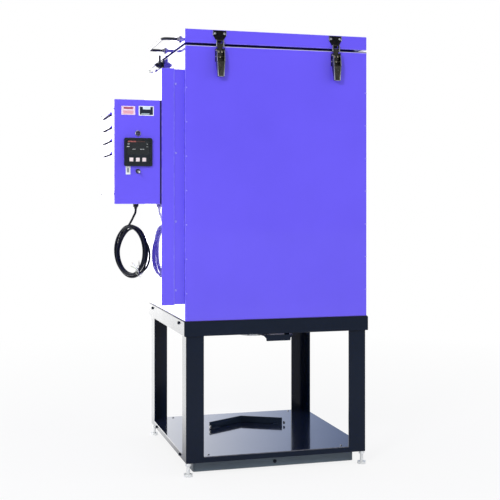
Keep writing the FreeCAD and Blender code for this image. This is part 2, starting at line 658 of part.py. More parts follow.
def latch_base(middle):
    """The plate on the body with two ears, each with a rivet for the lever."""
    bottom = LATCH_PIVOT_Z - LATCH_BASE_HEIGHT + LATCH_EAR_RADIUS
    top = LATCH_PIVOT_Z + LATCH_EAR_RADIUS
    half = LATCH_BASE_WIDTH / 2
    plate = box(middle - half, middle + half, BODY_FRONT - LATCH_BASE_THICKNESS, BODY_FRONT, bottom, top)
    ear_out = LEVER_WIDTH / 2 - LEVER_SHEET - LEVER_SIDE_GAP
    pieces = []
    for sign in (-1, 1):
        start = middle + sign * ear_out
        across = -sign * LATCH_EAR_THICKNESS
        foot = prism([latch_face(start, 0, LATCH_PIVOT_Z - LATCH_EAR_FOOT_DROP),
                      latch_face(start, LATCH_PIVOT_REACH, LATCH_PIVOT_Z - LATCH_EAR_RADIUS),
                      latch_face(start, LATCH_PIVOT_REACH, LATCH_PIVOT_Z + LATCH_EAR_RADIUS),
                      latch_face(start, 0, LATCH_PIVOT_Z + LATCH_EAR_RADIUS)], V(across, 0, 0))
        eye = rod(latch_face(start, LATCH_PIVOT_REACH, LATCH_PIVOT_Z), V(-sign, 0, 0),
                  LATCH_EAR_THICKNESS, LATCH_EAR_RADIUS)
        rivet_length = LEVER_SIDE_GAP + LEVER_SHEET + LATCH_EAR_THICKNESS + RIVET_HEAD
        rivet = rod(latch_face(start + across, LATCH_PIVOT_REACH, LATCH_PIVOT_Z), V(sign, 0, 0),
                    rivet_length, LATCH_PIN_RADIUS)
        pieces += [foot, eye, rivet]
    return plate.fuse(pieces).removeSplitter()


def lever_face(middle, inset):
    """The lever's front outline, straight at the head and tapered to the tip, pushed back through its depth."""
    top = LATCH_PIVOT_Z + LEVER_HEAD_RADIUS
    web_z, tip_z = LATCH_PIVOT_Z - LEVER_WEB_START, LATCH_PIVOT_Z - LEVER_LENGTH
    half, tip_half = LEVER_WIDTH / 2 - inset, LEVER_TIP_WIDTH / 2 - inset
    corners = [(-half, top), (half, top), (half, web_z), (tip_half, tip_z), (-tip_half, tip_z), (-half, web_z)]
    return prism([latch_face(middle + x, 0, z) for x, z in corners], V(0, -LEVER_PROUD, 0))


def latch_lever(middle):
    """The tapered channel lever: two cheeks on the rivets, a web below, and the link's pin across."""
    pivot_z, reach = LATCH_PIVOT_Z, LATCH_PIVOT_REACH
    link_z = pivot_z - LATCH_LINK_PIN_DROP
    tip_z = pivot_z - LEVER_LENGTH
    web_z = pivot_z - LEVER_WEB_START
    inner = LATCH_LINK_PIN_REACH - LINK_EYE_RADIUS
    left = middle - LEVER_WIDTH / 2
    head = LEVER_HEAD_RADIUS
    cheek_outline = [(reach - head, pivot_z), (reach + head, pivot_z), (LEVER_PROUD, web_z),
                     (LEVER_PROUD - LEVER_SHEET, tip_z), (LEVER_PROUD - LEVER_SHEET - LEVER_TIP_DEPTH, tip_z),
                     (inner, link_z - LINK_EYE_RADIUS)]
    cheeks = prism([latch_face(left, out, z) for out, z in cheek_outline], V(LEVER_WIDTH, 0, 0))
    eye = rod(latch_face(left, reach, pivot_z), X_AXIS, LEVER_WIDTH, head)
    hollow_outline = [(0, pivot_z + head), (LEVER_PROUD, pivot_z + head), (LEVER_PROUD, web_z),
                      (LEVER_PROUD - LEVER_SHEET, web_z), (LEVER_PROUD - 2 * LEVER_SHEET, tip_z), (0, tip_z)]
    hollow = prism([latch_face(left, out, z) for out, z in hollow_outline], V(LEVER_WIDTH, 0, 0))
    hollow = hollow.common(lever_face(middle, LEVER_SHEET))
    bore = rod(latch_face(left, reach, pivot_z), X_AXIS, LEVER_WIDTH, LATCH_PIN_RADIUS + RUNNING_CLEARANCE)
    pin = rod(latch_face(left, LATCH_LINK_PIN_REACH, link_z), X_AXIS, LEVER_WIDTH, LATCH_PIN_RADIUS)
    channel = cheeks.fuse(eye).common(lever_face(middle, 0)).cut(hollow.fuse(bore))
    return channel.fuse(pin).removeSplitter()


def latch_link(middle):
    """The strap that draws the lid down: an eye on the lever's pin and a windowed head."""
    link_z = LATCH_PIVOT_Z - LATCH_LINK_PIN_DROP
    half_shank = LEVER_WIDTH / 2 - LEVER_SHEET - LEVER_SIDE_GAP - LATCH_EAR_THICKNESS - LINK_SIDE_GAP
    reach = LATCH_LINK_PIN_REACH
    low, high = reach - LINK_THICKNESS / 2, reach + LINK_THICKNESS / 2
    shank = box(middle - half_shank, middle + half_shank, BODY_FRONT - high, BODY_FRONT - low,
                link_z, link_z + LINK_HEAD_END)
    head = box(middle - LINK_HEAD_WIDTH / 2, middle + LINK_HEAD_WIDTH / 2, BODY_FRONT - high, BODY_FRONT - low,
               link_z + LINK_HEAD_START, link_z + LINK_HEAD_END)
    eye = rod(latch_face(middle - half_shank, reach, link_z), X_AXIS, 2 * half_shank, LINK_EYE_RADIUS)
    bore = rod(latch_face(middle - half_shank, reach, link_z), X_AXIS, 2 * half_shank,
               LATCH_PIN_RADIUS + RUNNING_CLEARANCE)
    window_top = link_z + LINK_HEAD_END - LINK_WINDOW_MARGIN
    window = box(middle - LINK_WINDOW_WIDTH / 2, middle + LINK_WINDOW_WIDTH / 2, BODY_FRONT - high,
                 BODY_FRONT - low, window_top - LINK_WINDOW_HEIGHT, window_top)
    return shank.fuse([head, eye]).cut(bore.fuse(window)).removeSplitter()


def latch_keeper(middle):
    """The keeper plate on the lid, tapered down to a small formed tongue."""
    top = LID_TOP - KEEPER_TOP_MARGIN
    bottom = LATCH_PIVOT_Z - LATCH_LINK_PIN_DROP + LINK_HEAD_END
    wide, narrow = KEEPER_TOP_WIDTH / 2, KEEPER_BOTTOM_WIDTH / 2
    shoulder = (top + bottom) / 2
    plate = prism([latch_face(middle - wide, 0, top), latch_face(middle + wide, 0, top),
                   latch_face(middle + wide, 0, shoulder), latch_face(middle + narrow, 0, bottom),
                   latch_face(middle - narrow, 0, bottom), latch_face(middle - wide, 0, shoulder)],
                  V(0, -KEEPER_THICKNESS, 0))
    half = KEEPER_TONGUE_WIDTH / 2
    tongue = prism([latch_face(middle - half, 0, bottom), latch_face(middle - half, KEEPER_THICKNESS, bottom),
                    latch_face(middle - half, KEEPER_THICKNESS + KEEPER_TONGUE_PROUD, bottom - KEEPER_TONGUE_DROP),
                    latch_face(middle - half, 0, bottom - KEEPER_TONGUE_DROP)], V(KEEPER_TONGUE_WIDTH, 0, 0))
    return plate.fuse(tongue)


def housing_base():
    """The side housing's back part, flanged to the left wall."""
    return box(BODY_LEFT - HOUSING_BASE_DEPTH, BODY_LEFT, CONTROL_FRONT, CONTROL_FRONT + HOUSING_LENGTH,
               HOUSING_BOTTOM, HOUSING_TOP)


def housing_cover():
    """The side housing's lapped cover, a little taller than its base."""
    cover = box(HOUSING_LEFT, BODY_LEFT - HOUSING_BASE_DEPTH, CONTROL_FRONT - HOUSING_COVER_LAP,
                CONTROL_FRONT + HOUSING_LENGTH + HOUSING_COVER_LAP, HOUSING_BOTTOM - HOUSING_COVER_LAP,
                HOUSING_TOP + HOUSING_COVER_LAP)
    outer_edges = [edge for edge in cover.Edges if edge.BoundBox.XMax < HOUSING_LEFT + 0.1]
    return cover.makeFillet(PANEL_EDGE_RADIUS, outer_edges)


def control_box():
    """The control box's case, with a shadow gap along the housing."""
    back = CONTROL_FRONT + HOUSING_LENGTH
    case = box(CONTROL_LEFT + CONTROL_COVER_THICKNESS, HOUSING_LEFT, CONTROL_FRONT, back,
               CONTROL_BOTTOM, CONTROL_TOP)
    gap = box(HOUSING_LEFT - SHADOW_GAP_WIDTH, HOUSING_LEFT, CONTROL_FRONT, CONTROL_FRONT + SHADOW_GAP_DEPTH,
              CONTROL_BOTTOM, CONTROL_TOP)
    return case.cut(gap)


def control_box_cover():
    """The control box's left cover, with pressed louvres."""
    back = CONTROL_FRONT + HOUSING_LENGTH
    sheet = box(CONTROL_LEFT, CONTROL_LEFT + CONTROL_COVER_THICKNESS, CONTROL_FRONT, back,
                CONTROL_BOTTOM, CONTROL_TOP)
    middle = (CONTROL_FRONT + back) / 2
    front, rear = middle - LOUVRE_LENGTH / 2, middle + LOUVRE_LENGTH / 2
    hoods = []
    for number in range(LOUVRE_COUNT):
        top = CONTROL_TOP - LOUVRE_FIRST_BELOW_TOP - number * LOUVRE_PITCH + LOUVRE_HEIGHT / 2
        bottom = top - LOUVRE_HEIGHT
        hood = [V(CONTROL_LEFT, front, bottom), V(CONTROL_LEFT - LOUVRE_PROUD, front, bottom),
                V(CONTROL_LEFT, front, top)]
        hoods.append(prism(hood, V(0, rear - front, 0)))
    return sheet.fuse(hoods).removeSplitter()


def front_point(out_from_middle, z):
    """A point on the control box's front face."""
    return V(CONTROL_MIDDLE + out_from_middle, CONTROL_FRONT, z)


def temperature_controller():
    """The square panel controller: a bezel round a recessed face with three buttons."""
    z = CONTROL_TOP - CONTROLLER_BELOW_TOP
    half = CONTROLLER_SIZE / 2
    face_y = CONTROL_FRONT - CONTROLLER_PROUD
    block = box(CONTROL_MIDDLE - half, CONTROL_MIDDLE + half, face_y, CONTROL_FRONT, z - half, z + half)
    corners = [edge for edge in block.Edges if edge.BoundBox.YLength > CONTROLLER_PROUD / 2]
    block = block.makeFillet(CONTROLLER_CORNER, corners)
    inner = half - CONTROLLER_FRAME
    recess = box(CONTROL_MIDDLE - inner, CONTROL_MIDDLE + inner, face_y, face_y + CONTROLLER_RECESS,
                 z - inner, z + inner)
    block = block.cut(recess)
    buttons = []
    for number in (-1, 0, 1):
        start = V(CONTROL_MIDDLE + number * BUTTON_PITCH, face_y + CONTROLLER_RECESS, z - BUTTON_DROP)
        buttons.append(rod(start, V(0, -1, 0), BUTTON_PROUD, BUTTON_RADIUS))
    return block.fuse(buttons)


def pilot_lamp():
    """The round lamp over the controller: a bezel and a domed lens."""
    start = front_point(0, CONTROL_TOP - LAMP_BELOW_TOP)
    bezel = rod(start, V(0, -1, 0), LAMP_BEZEL_THICKNESS, LAMP_BEZEL_RADIUS)
    dome = Part.makeSphere(LAMP_RADIUS, start - V(0, LAMP_BEZEL_THICKNESS, 0))
    behind = box(start.x - LAMP_RADIUS, start.x + LAMP_RADIUS, start.y, start.y + LAMP_RADIUS,
                 start.z - LAMP_RADIUS, start.z + LAMP_RADIUS)
    return bezel.fuse(dome.cut(behind)).removeSplitter()


def switch_bush():
    """The power switch's nut and threaded bush."""
    start = front_point(0, CONTROL_TOP - SWITCH_BELOW_TOP)
    nut = prism([start + V(SWITCH_NUT_RADIUS * math.cos(math.radians(60 * side)), 0,
                           SWITCH_NUT_RADIUS * math.sin(math.radians(60 * side))) for side in range(6)],
                V(0, -SWITCH_NUT_THICKNESS, 0))
    return nut.fuse(rod(start, V(0, -1, 0), SWITCH_BUSH_LENGTH, SWITCH_BUSH_RADIUS))


def switch_bat():
    """The power switch's bat lever, tilted down at rest."""
    start = front_point(0, CONTROL_TOP - SWITCH_BELOW_TOP)
    pivot = start - V(0, SWITCH_BUSH_LENGTH + SWITCH_BALL_RADIUS + SEAT_GAP, 0)
    ball = Part.makeSphere(SWITCH_BALL_RADIUS, pivot)
    bat = Part.makeCone(SWITCH_BAT_ROOT_RADIUS, SWITCH_BAT_TIP_RADIUS, SWITCH_BAT_LENGTH, pivot, V(0, -1, 0))
    lever = bat.fuse(ball)
    lever.rotate(pivot, X_AXIS, SWITCH_BAT_TILT)
    return lever


def cable_gland():
    """The cord's gland under the control box: a hexagon and a dome nut."""
    top = V(GLAND_X, GLAND_Y, CONTROL_BOTTOM)
    hexagon = prism([top + V(GLAND_HEX_RADIUS * math.cos(math.radians(60 * side)),
                             GLAND_HEX_RADIUS * math.sin(math.radians(60 * side)), 0) for side in range(6)],
                    V(0, 0, -GLAND_HEX_HEIGHT))
    dome = Part.makeCone(GLAND_DOME_RADIUS, CORD_RADIUS + GLAND_NOSE_WALL, GLAND_HEIGHT - GLAND_HEX_HEIGHT,
                         top - V(0, 0, GLAND_HEX_HEIGHT), V(0, 0, -1))
    return hexagon.fuse(dome)


def rounded_route(points):
    """Straight runs joined by tangent arcs: each arc reaches 0.45 of its shorter run."""
    edges = []
    start = points[0]
    for before, corner, after in zip(points, points[1:], points[2:]):
        back, ahead = before - corner, after - corner
        reach = 0.45 * min(back.Length, ahead.Length)
        back.normalize()
        ahead.normalize()
        turn = math.pi - back.getAngle(ahead)
        radius = reach / math.tan(turn / 2)
        print("cord bend radius %.1f" % radius)
        bisector = back + ahead
        bisector.normalize()
        inward = radius / math.cos(turn / 2) - radius
        first, last = corner + back * reach, corner + ahead * reach
        edges.append(Part.LineSegment(start, first).toShape())
        edges.append(Part.Arc(first, corner + bisector * inward, last).toShape())
        start = last
    edges.append(Part.LineSegment(start, points[-1]).toShape())
    return Part.Wire(edges)


def power_cord():
    """The cord from the gland down to the coil."""
    start = V(GLAND_X, GLAND_Y, CONTROL_BOTTOM - GLAND_HEIGHT)
    route = rounded_route([start + V(*step) for step in CORD_RUN])
    first = route.Edges[0]
    heading = first.Vertexes[-1].Point - first.Vertexes[0].Point
    section = Part.Wire(Part.Circle(start, heading, CORD_RADIUS).toShape())
    tube = route.makePipeShell([section], True, False)
    print("cord volume ratio %.3f" % (tube.Volume / (math.pi * CORD_RADIUS ** 2 * route.Length)))
    return tube


def cord_coil():
    """The hanging coil's outer shape, a ring that stands upright."""
    centre = V(BODY_LEFT - COIL_OUT, BODY_FRONT + COIL_BACK, COIL_CENTRE_HEIGHT)
    angle = math.radians(COIL_TURN_DEG)
    normal = V(math.sin(angle), math.cos(angle), 0)
    return Part.makeTorus(COIL_MEAN_RADIUS, COIL_BUNDLE_RADIUS, centre, normal)


def side_clamp_bracket():
    """The clamp's plate on the left wall, with the bolt that its lever turns on."""
    half_width, half_height = CLAMP_PLATE_WIDTH / 2, CLAMP_PLATE_HEIGHT / 2
    plate = box(BODY_LEFT - CLAMP_PLATE_THICKNESS, BODY_LEFT, CLAMP_Y - half_width, CLAMP_Y + half_width,
                CLAMP_Z - half_height, CLAMP_Z + half_height)
    start = V(BODY_LEFT, CLAMP_Y, CLAMP_Z)
    bolt = rod(start, V(-1, 0, 0), CLAMP_BOLT_REACH, CLAMP_BOLT_RADIUS)
    nut_start = CLAMP_HUB_START + CLAMP_HUB_THICKNESS + CLAMP_NUT_GAP
    nut = rod(start - V(nut_start, 0, 0), V(-1, 0, 0), CLAMP_NUT_THICKNESS, CLAMP_NUT_RADIUS)
    return plate.fuse([bolt, nut])


def side_clamp_lever():
    """The clamp's hub, its finger beside the lid, and the rod that runs back to a knob."""
    inner = V(BODY_LEFT - CLAMP_HUB_START, CLAMP_Y, CLAMP_Z)
    hub = rod(inner, V(-1, 0, 0), CLAMP_HUB_THICKNESS, CLAMP_HUB_RADIUS)
    middle = inner - V(CLAMP_HUB_THICKNESS / 2, 0, 0)
    bar = rod(middle, Y_AXIS, CLAMP_LENGTH, CLAMP_ROD_RADIUS)
    knob = Part.makeSphere(CLAMP_KNOB_RADIUS, middle + V(0, CLAMP_LENGTH, 0))
    half_width, half_thickness = CLAMP_FINGER_WIDTH / 2, CLAMP_FINGER_THICKNESS / 2
    finger = box(middle.x - half_thickness, middle.x + half_thickness, CLAMP_Y - half_width, CLAMP_Y + half_width,
                 CLAMP_Z, CLAMP_Z + CLAMP_FINGER_RISE)
    bore = rod(inner, V(-1, 0, 0), CLAMP_HUB_THICKNESS, CLAMP_BOLT_RADIUS + RUNNING_CLEARANCE)
    return hub.fuse([bar, knob, finger]).cut(bore)


def placed(shape):
    """A copy moved so that the origin is under the middle of the whole oven."""
    copy = shape.copy()
    copy.translate(-ORIGIN)
    return copy


def all_nodes():
    """Every named piece of the oven."""
    nodes = {}
    nodes.update(stand_legs())
    nodes.update(top_rails())
    nodes.update(bottom_rails())
    nodes.update(body_walls())
    for piece in (shelf, plinth, levelling_feet, pail_stop, rim_frame, base_plate, hopper, outlet_neck,
                  gate_runners, slide_gate, outlet_spout, lid_shell, lid_plug, lid_gasket, hinge_body_leaves,
                  hinge_lid_leaves, lid_side_handle, housing_base, housing_cover, control_box,
                  control_box_cover, temperature_controller, pilot_lamp, switch_bush, switch_bat, cable_gland,
                  power_cord, cord_coil, side_clamp_bracket, side_clamp_lever):
        nodes[piece.__name__] = piece()
    nodes["lid_keepers"] = Part.makeCompound([latch_keeper(-LATCH_CENTRE), latch_keeper(LATCH_CENTRE)])
    for side, middle in (("left", -LATCH_CENTRE), ("right", LATCH_CENTRE)):
        nodes["latch_base_" + side] = latch_base(middle)
        nodes["latch_lever_" + side] = latch_lever(middle)
        nodes["latch_link_" + side] = latch_link(middle)
    return nodes


os.makedirs("parts", exist_ok=True)
for name, shape in all_nodes().items():
    placed(shape).exportStep("parts/%s.step" % name)
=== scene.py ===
import math

import bmesh
import bpy
import numpy as np
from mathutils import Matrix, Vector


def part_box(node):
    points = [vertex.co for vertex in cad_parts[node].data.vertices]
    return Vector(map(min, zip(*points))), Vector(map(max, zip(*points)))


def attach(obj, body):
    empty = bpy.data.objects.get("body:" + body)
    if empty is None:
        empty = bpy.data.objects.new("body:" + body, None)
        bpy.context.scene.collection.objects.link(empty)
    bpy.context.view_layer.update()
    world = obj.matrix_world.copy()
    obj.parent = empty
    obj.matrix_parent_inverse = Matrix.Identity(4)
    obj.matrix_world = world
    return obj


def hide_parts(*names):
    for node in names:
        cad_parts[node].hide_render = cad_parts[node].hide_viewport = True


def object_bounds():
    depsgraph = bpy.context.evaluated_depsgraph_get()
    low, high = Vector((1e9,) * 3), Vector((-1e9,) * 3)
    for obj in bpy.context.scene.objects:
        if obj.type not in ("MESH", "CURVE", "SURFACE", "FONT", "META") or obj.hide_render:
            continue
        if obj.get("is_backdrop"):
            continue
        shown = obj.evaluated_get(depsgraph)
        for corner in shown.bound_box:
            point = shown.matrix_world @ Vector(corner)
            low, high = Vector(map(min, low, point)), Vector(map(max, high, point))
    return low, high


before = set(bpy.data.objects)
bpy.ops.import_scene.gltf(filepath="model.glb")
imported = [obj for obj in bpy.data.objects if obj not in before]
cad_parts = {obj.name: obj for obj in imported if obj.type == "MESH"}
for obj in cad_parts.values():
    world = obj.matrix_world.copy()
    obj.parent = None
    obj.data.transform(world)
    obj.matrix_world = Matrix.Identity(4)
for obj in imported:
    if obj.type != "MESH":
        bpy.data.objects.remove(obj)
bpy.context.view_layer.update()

# The camera
# It stands left of the oven's front at chest height, level, so that uprights stay upright.
# The picture is shifted down, because the camera's own horizon lies above its middle.
FOCAL_PIXELS = 994.0
PICTURE_PIXELS = 500.0
HORIZON_ABOVE_MIDDLE = 46.0
SENSOR_MM = 36.0
CAMERA_PLACE = (-0.931, -3.6865, 0.943)
CAMERA_TURN_RIGHT = math.radians(15.8)
camera_data = bpy.data.cameras.new("camera")
camera_data.sensor_width = SENSOR_MM
camera_data.lens = FOCAL_PIXELS / PICTURE_PIXELS * SENSOR_MM
camera_data.shift_y = -HORIZON_ABOVE_MIDDLE / PICTURE_PIXELS
camera = bpy.data.objects.new("camera", camera_data)
camera.location = CAMERA_PLACE
camera.rotation_euler = (math.radians(90), 0, -CAMERA_TURN_RIGHT)
bpy.context.scene.collection.objects.link(camera)
bpy.context.scene.camera = camera


# The power cord
# A black rubber mains cord, 8 mm thick, that drops from the gland under the control box and
# hangs as one round coil of four and a half turns, its last turn loose on the right.
CORD_RADIUS = 0.004
CORD_EXIT = np.array([-0.338, -0.041, 0.925])
CORD_DROP = np.array([[0, 0, 0], [0, 0, -0.013], [-0.0065, 0.005, -0.026], [-0.0125, 0.009, -0.041]])
COIL_CENTRE = np.array([-0.354, -0.029, 0.768])
COIL_PLANE_ANGLE = math.radians(63)
COIL_MEAN_RADIUS = 0.089
BUNDLE_OFFSET = 0.0071
BUNDLE_STRANDS = 5
POINTS_PER_TURN = 24
COIL_START_ANGLE = math.radians(28)
COIL_TURNS = 4.56
STRAND_START = math.radians(200)
LOOSE_BULGE = 0.0215
LOOSE_ANGLE = math.radians(257)
LOOSE_FROM = 3.3
LOOSE_WITHIN = 0.125
INNER_ANGLE = math.radians(48)
INNER_GAP = 0.008
HUMP_EDGE = 0.72
SAG = 0.007
SAG_TURN = 1.5
ROUNDING = 1.0065
FREE_ANGLE = 0.9
FREE_DROP = 0.011
FREE_FORWARD = 0.014
COIL_SIDEWAYS = np.array([math.cos(COIL_PLANE_ANGLE), -math.sin(COIL_PLANE_ANGLE), 0])
COIL_FORWARDS = -np.array([math.sin(COIL_PLANE_ANGLE), math.cos(COIL_PLANE_ANGLE), 0])
UP = np.array([0, 0, 1])


def shader_group(name, inputs, outputs):
    """A new node group with its sockets: inputs and outputs are name and kind pairs."""
    group = bpy.data.node_groups.new(name, "ShaderNodeTree")
    for direction, sockets in (("INPUT", inputs), ("OUTPUT", outputs)):
        for socket, kind in sockets:
            group.interface.new_socket(socket, in_out=direction, socket_type="NodeSocket" + kind)
    return group, group.nodes.new("NodeGroupInput"), group.nodes.new("NodeGroupOutput")


def settle(tree, socket, value):
    """Join a socket to another one, or give it a plain value."""
    if isinstance(value, bpy.types.NodeSocket):
        tree.links.new(value, socket)
    elif value is not None:
        socket.default_value = (*value, 1) if socket.type == "RGBA" else value


def calculate(tree, operation, first, second=None, kind="ShaderNodeMath"):
    """The result of one Math node, or of one Vector Math node."""
    node = tree.nodes.new(kind)
    node.operation = operation
    settle(tree, node.inputs[0], first)
    settle(tree, node.inputs[1], second)
    return node.outputs[0]


def calculate_vector(tree, operation, first, second=None):
    """One Vector Math node's result."""
    return calculate(tree, operation, first, second, "ShaderNodeVectorMath")


def product(tree, first, second):
    """Two values multiplied."""
    return calculate(tree, "MULTIPLY", first, second)


def over_three(tree, operation, values):
    """One operation carried over three values."""
    return calculate(tree, operation, calculate(tree, operation, values[0], values[1]), values[2])


def fade(tree, value, start, end, low=0.0, high=1.0):
    """A value that goes from low to high while another goes from start to end."""
    node = tree.nodes.new("ShaderNodeMapRange")
    for socket, number in zip(node.inputs[:5], (value, start, end, low, high)):
        settle(tree, socket, number)
    return node.outputs[0]


def blend(tree, mask, first, second, colour=True):
    """Between two colours or two numbers, by a mask."""
    node = tree.nodes.new("ShaderNodeMix")
    node.data_type = "RGBA" if colour else "FLOAT"
    settle(tree, node.inputs[0], mask)
    settle(tree, node.inputs[6 if colour else 2], first)
    settle(tree, node.inputs[7 if colour else 3], second)
    return node.outputs[2 if colour else 0]


def noise(tree, place, scale, detail):
    """A noise value over a place."""
    node = tree.nodes.new("ShaderNodeTexNoise")
    node.inputs["Detail"].default_value = detail
    settle(tree, node.inputs["Vector"], place)
    settle(tree, node.inputs["Scale"], scale)
    return node.outputs["Fac"]


def bump(tree, height, distance, normal=None):
    """A normal raised by a height."""
    node = tree.nodes.new("ShaderNodeBump")
    settle(tree, node.inputs["Height"], height)
    settle(tree, node.inputs["Distance"], distance)
    settle(tree, node.inputs["Normal"], normal)
    return node.outputs["Normal"]


def skin_group():
    """A fine grain of a given size and height over slow upright hollows, as in thin folded sheet."""
    inputs = [("Size", "Float"), ("Height", "Float"), ("Hollow", "Float")]
    group, given, made = shader_group("skin", inputs, [("Normal", "Vector")])
    place = group.nodes.new("ShaderNodeTexCoord").outputs["Object"]
    stretched = calculate_vector(group, "MULTIPLY", place, (5.0, 5.0, 1.1))
    hollow = bump(group, noise(group, stretched, 1.0, 1.0), given.outputs["Hollow"])
    frequency = calculate(group, "DIVIDE", 1.0, given.outputs["Size"])
    grain = bump(group, noise(group, place, frequency, 3.0), given.outputs["Height"], hollow)
    group.links.new(grain, made.inputs["Normal"])
    return group


def mottle_group():
    """Slow tones: noise of a given size, stretched to 0..1, moves the colour between two tones."""
    group, given, made = shader_group("mottle", [("Size", "Float"), ("Dark", "Color"), ("Light", "Color")],
                                      [("Color", "Color"), ("Mask", "Float")])
    place = group.nodes.new("ShaderNodeTexCoord").outputs["Object"]
    frequency = calculate(group, "DIVIDE", 1.0, given.outputs["Size"])
    mask = fade(group, noise(group, place, frequency, 6.0), 0.3, 0.7)
    tone = blend(group, mask, given.outputs["Dark"], given.outputs["Light"])
    group.links.new(tone, made.inputs["Color"])
    group.links.new(mask, made.inputs["Mask"])
    return group


def depths_in_box(group, given):
    """A point, and its depths below a box's six faces: half size less distance from the centre."""
    place = group.nodes.new("ShaderNodeTexCoord").outputs["Object"]
    offset = calculate_vector(group, "SUBTRACT", place, given.outputs["Centre"])
    offset = calculate_vector(group, "ABSOLUTE", offset)
    depth = group.nodes.new("ShaderNodeSeparateXYZ")
    group.links.new(calculate_vector(group, "SUBTRACT", given.outputs["Half"], offset), depth.inputs[0])
    return place, depth.outputs


def edge_wear_group():
    """A mask along a box's edges. The middle one of a point's three depths is its distance from the
    nearest edge, which noise breaks up."""
    inputs = [("Centre", "Vector"), ("Half", "Vector"), ("Width", "Float")]
    group, given, made = shader_group("edge_wear", inputs, [("Mask", "Float")])
    place, depths = depths_in_box(group, given)
    middle = over_three(group, "ADD", depths)
    for operation in ("MINIMUM", "MAXIMUM"):
        middle = calculate(group, "SUBTRACT", middle, over_three(group, operation, depths))
    ragged = fade(group, noise(group, place, 55.0, 5.0), 0.35, 0.75, 0.2, 1.0)
    reach = product(group, ragged, given.outputs["Width"])
    mask = fade(group, calculate(group, "DIVIDE", middle, reach), 1.0, 0.3)
    group.links.new(mask, made.inputs["Mask"])
    return group


def zone_group():
    """A mask that is 1 inside a box, where the least of a point's three depths is above 0."""
    inputs = [("Centre", "Vector"), ("Half", "Vector")]
    group, given, made = shader_group("zone", inputs, [("Mask", "Float")])
    least = over_three(group, "MINIMUM", depths_in_box(group, given)[1])
    group.links.new(calculate(group, "GREATER_THAN", least, 0.0), made.inputs["Mask"])
    return group


SKIN = skin_group()
MOTTLE = mottle_group()
EDGE_WEAR = edge_wear_group()
ZONE = zone_group()


def place_group(tree, group, **values):
    """A group in a material, with its own values."""
    node = tree.nodes.new("ShaderNodeGroup")
    node.node_tree = group
    for name, value in values.items():
        settle(tree, node.inputs[name], value)
    return node


def middle_and_half(low, high):
    """A box's centre and half size, from its corners."""
    low, high = np.array(low, float), np.array(high, float)
    return tuple((low + high) / 2), tuple((high - low) / 2)


def finish(name, dark, light, roughness, metallic=0.0, coat=0.0, ior=1.5, mottle=0.12, grain=0.0012,
           height=0.00003, hollow=0.0, spread=0.05, edges=None, zones=()):
    """A surface finish: slow tones between two colours, roughness that follows them, and grain. Edges
    are a worn box (low, high, width, colour), and each zone is a box with a finish of its own
    (low, high, colour, roughness, metallic)."""
    material = bpy.data.materials.new(name)
    material.use_nodes = True
    tree = material.node_tree
    shader = tree.nodes["Principled BSDF"]
    tones = place_group(tree, MOTTLE, Size=mottle, Dark=dark, Light=light)
    skin = place_group(tree, SKIN, Size=grain, Height=height, Hollow=hollow)
    colour = tones.outputs["Color"]
    rough = fade(tree, tones.outputs["Mask"], 0.0, 1.0, max(roughness - spread, 0.02), roughness + spread)
    metal = None
    if edges:
        centre, half = middle_and_half(*edges[:2])
        worn = place_group(tree, EDGE_WEAR, Centre=centre, Half=half, Width=edges[2]).outputs["Mask"]
        colour = blend(tree, worn, colour, edges[3])
        rough = blend(tree, worn, rough, roughness + 0.15, colour=False)
    for low, high, zone_colour, zone_roughness, zone_metallic in zones:
        centre, half = middle_and_half(low, high)
        inside = place_group(tree, ZONE, Centre=centre, Half=half).outputs["Mask"]
        colour = blend(tree, inside, colour, zone_colour)
        rough = blend(tree, inside, rough, zone_roughness, colour=False)
        if zone_metallic != metallic:
            metal = blend(tree, inside, metal or metallic, zone_metallic, colour=False)
    tree.links.new(colour, shader.inputs["Base Color"])
    tree.links.new(rough, shader.inputs["Roughness"])
    tree.links.new(skin.outputs["Normal"], shader.inputs["Normal"])
    settle(tree, shader.inputs["Metallic"], metal or metallic)
    shader.inputs["IOR"].default_value = ior
    shader.inputs["Coat Weight"].default_value = coat
    shader.inputs["Coat Roughness"].default_value = 0.03
    return material


def dress(material, *names, bevel=0.0):
    """Give CAD nodes their finish, and break their sharp edges by a small bevel."""
    for name in names:
        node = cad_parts[name]
        node.data.materials.clear()
        node.data.materials.append(material)
        if bevel:
            weld = node.modifiers.new("weld", "WELD")
            weld.merge_threshold = 0.000001
            edge = node.modifiers.new("bevel", "BEVEL")
            edge.width = bevel
            edge.segments = 2
            edge.limit_method = "ANGLE"
            edge.angle_limit = math.radians(35)


def hump(angle, middle):
    """1 at a middle angle, and down to 0 where the cosine of the angle from it falls to the edge."""
    return np.clip((np.cos(angle - middle) - HUMP_EDGE) / (1 - HUMP_EDGE), 0, 1)


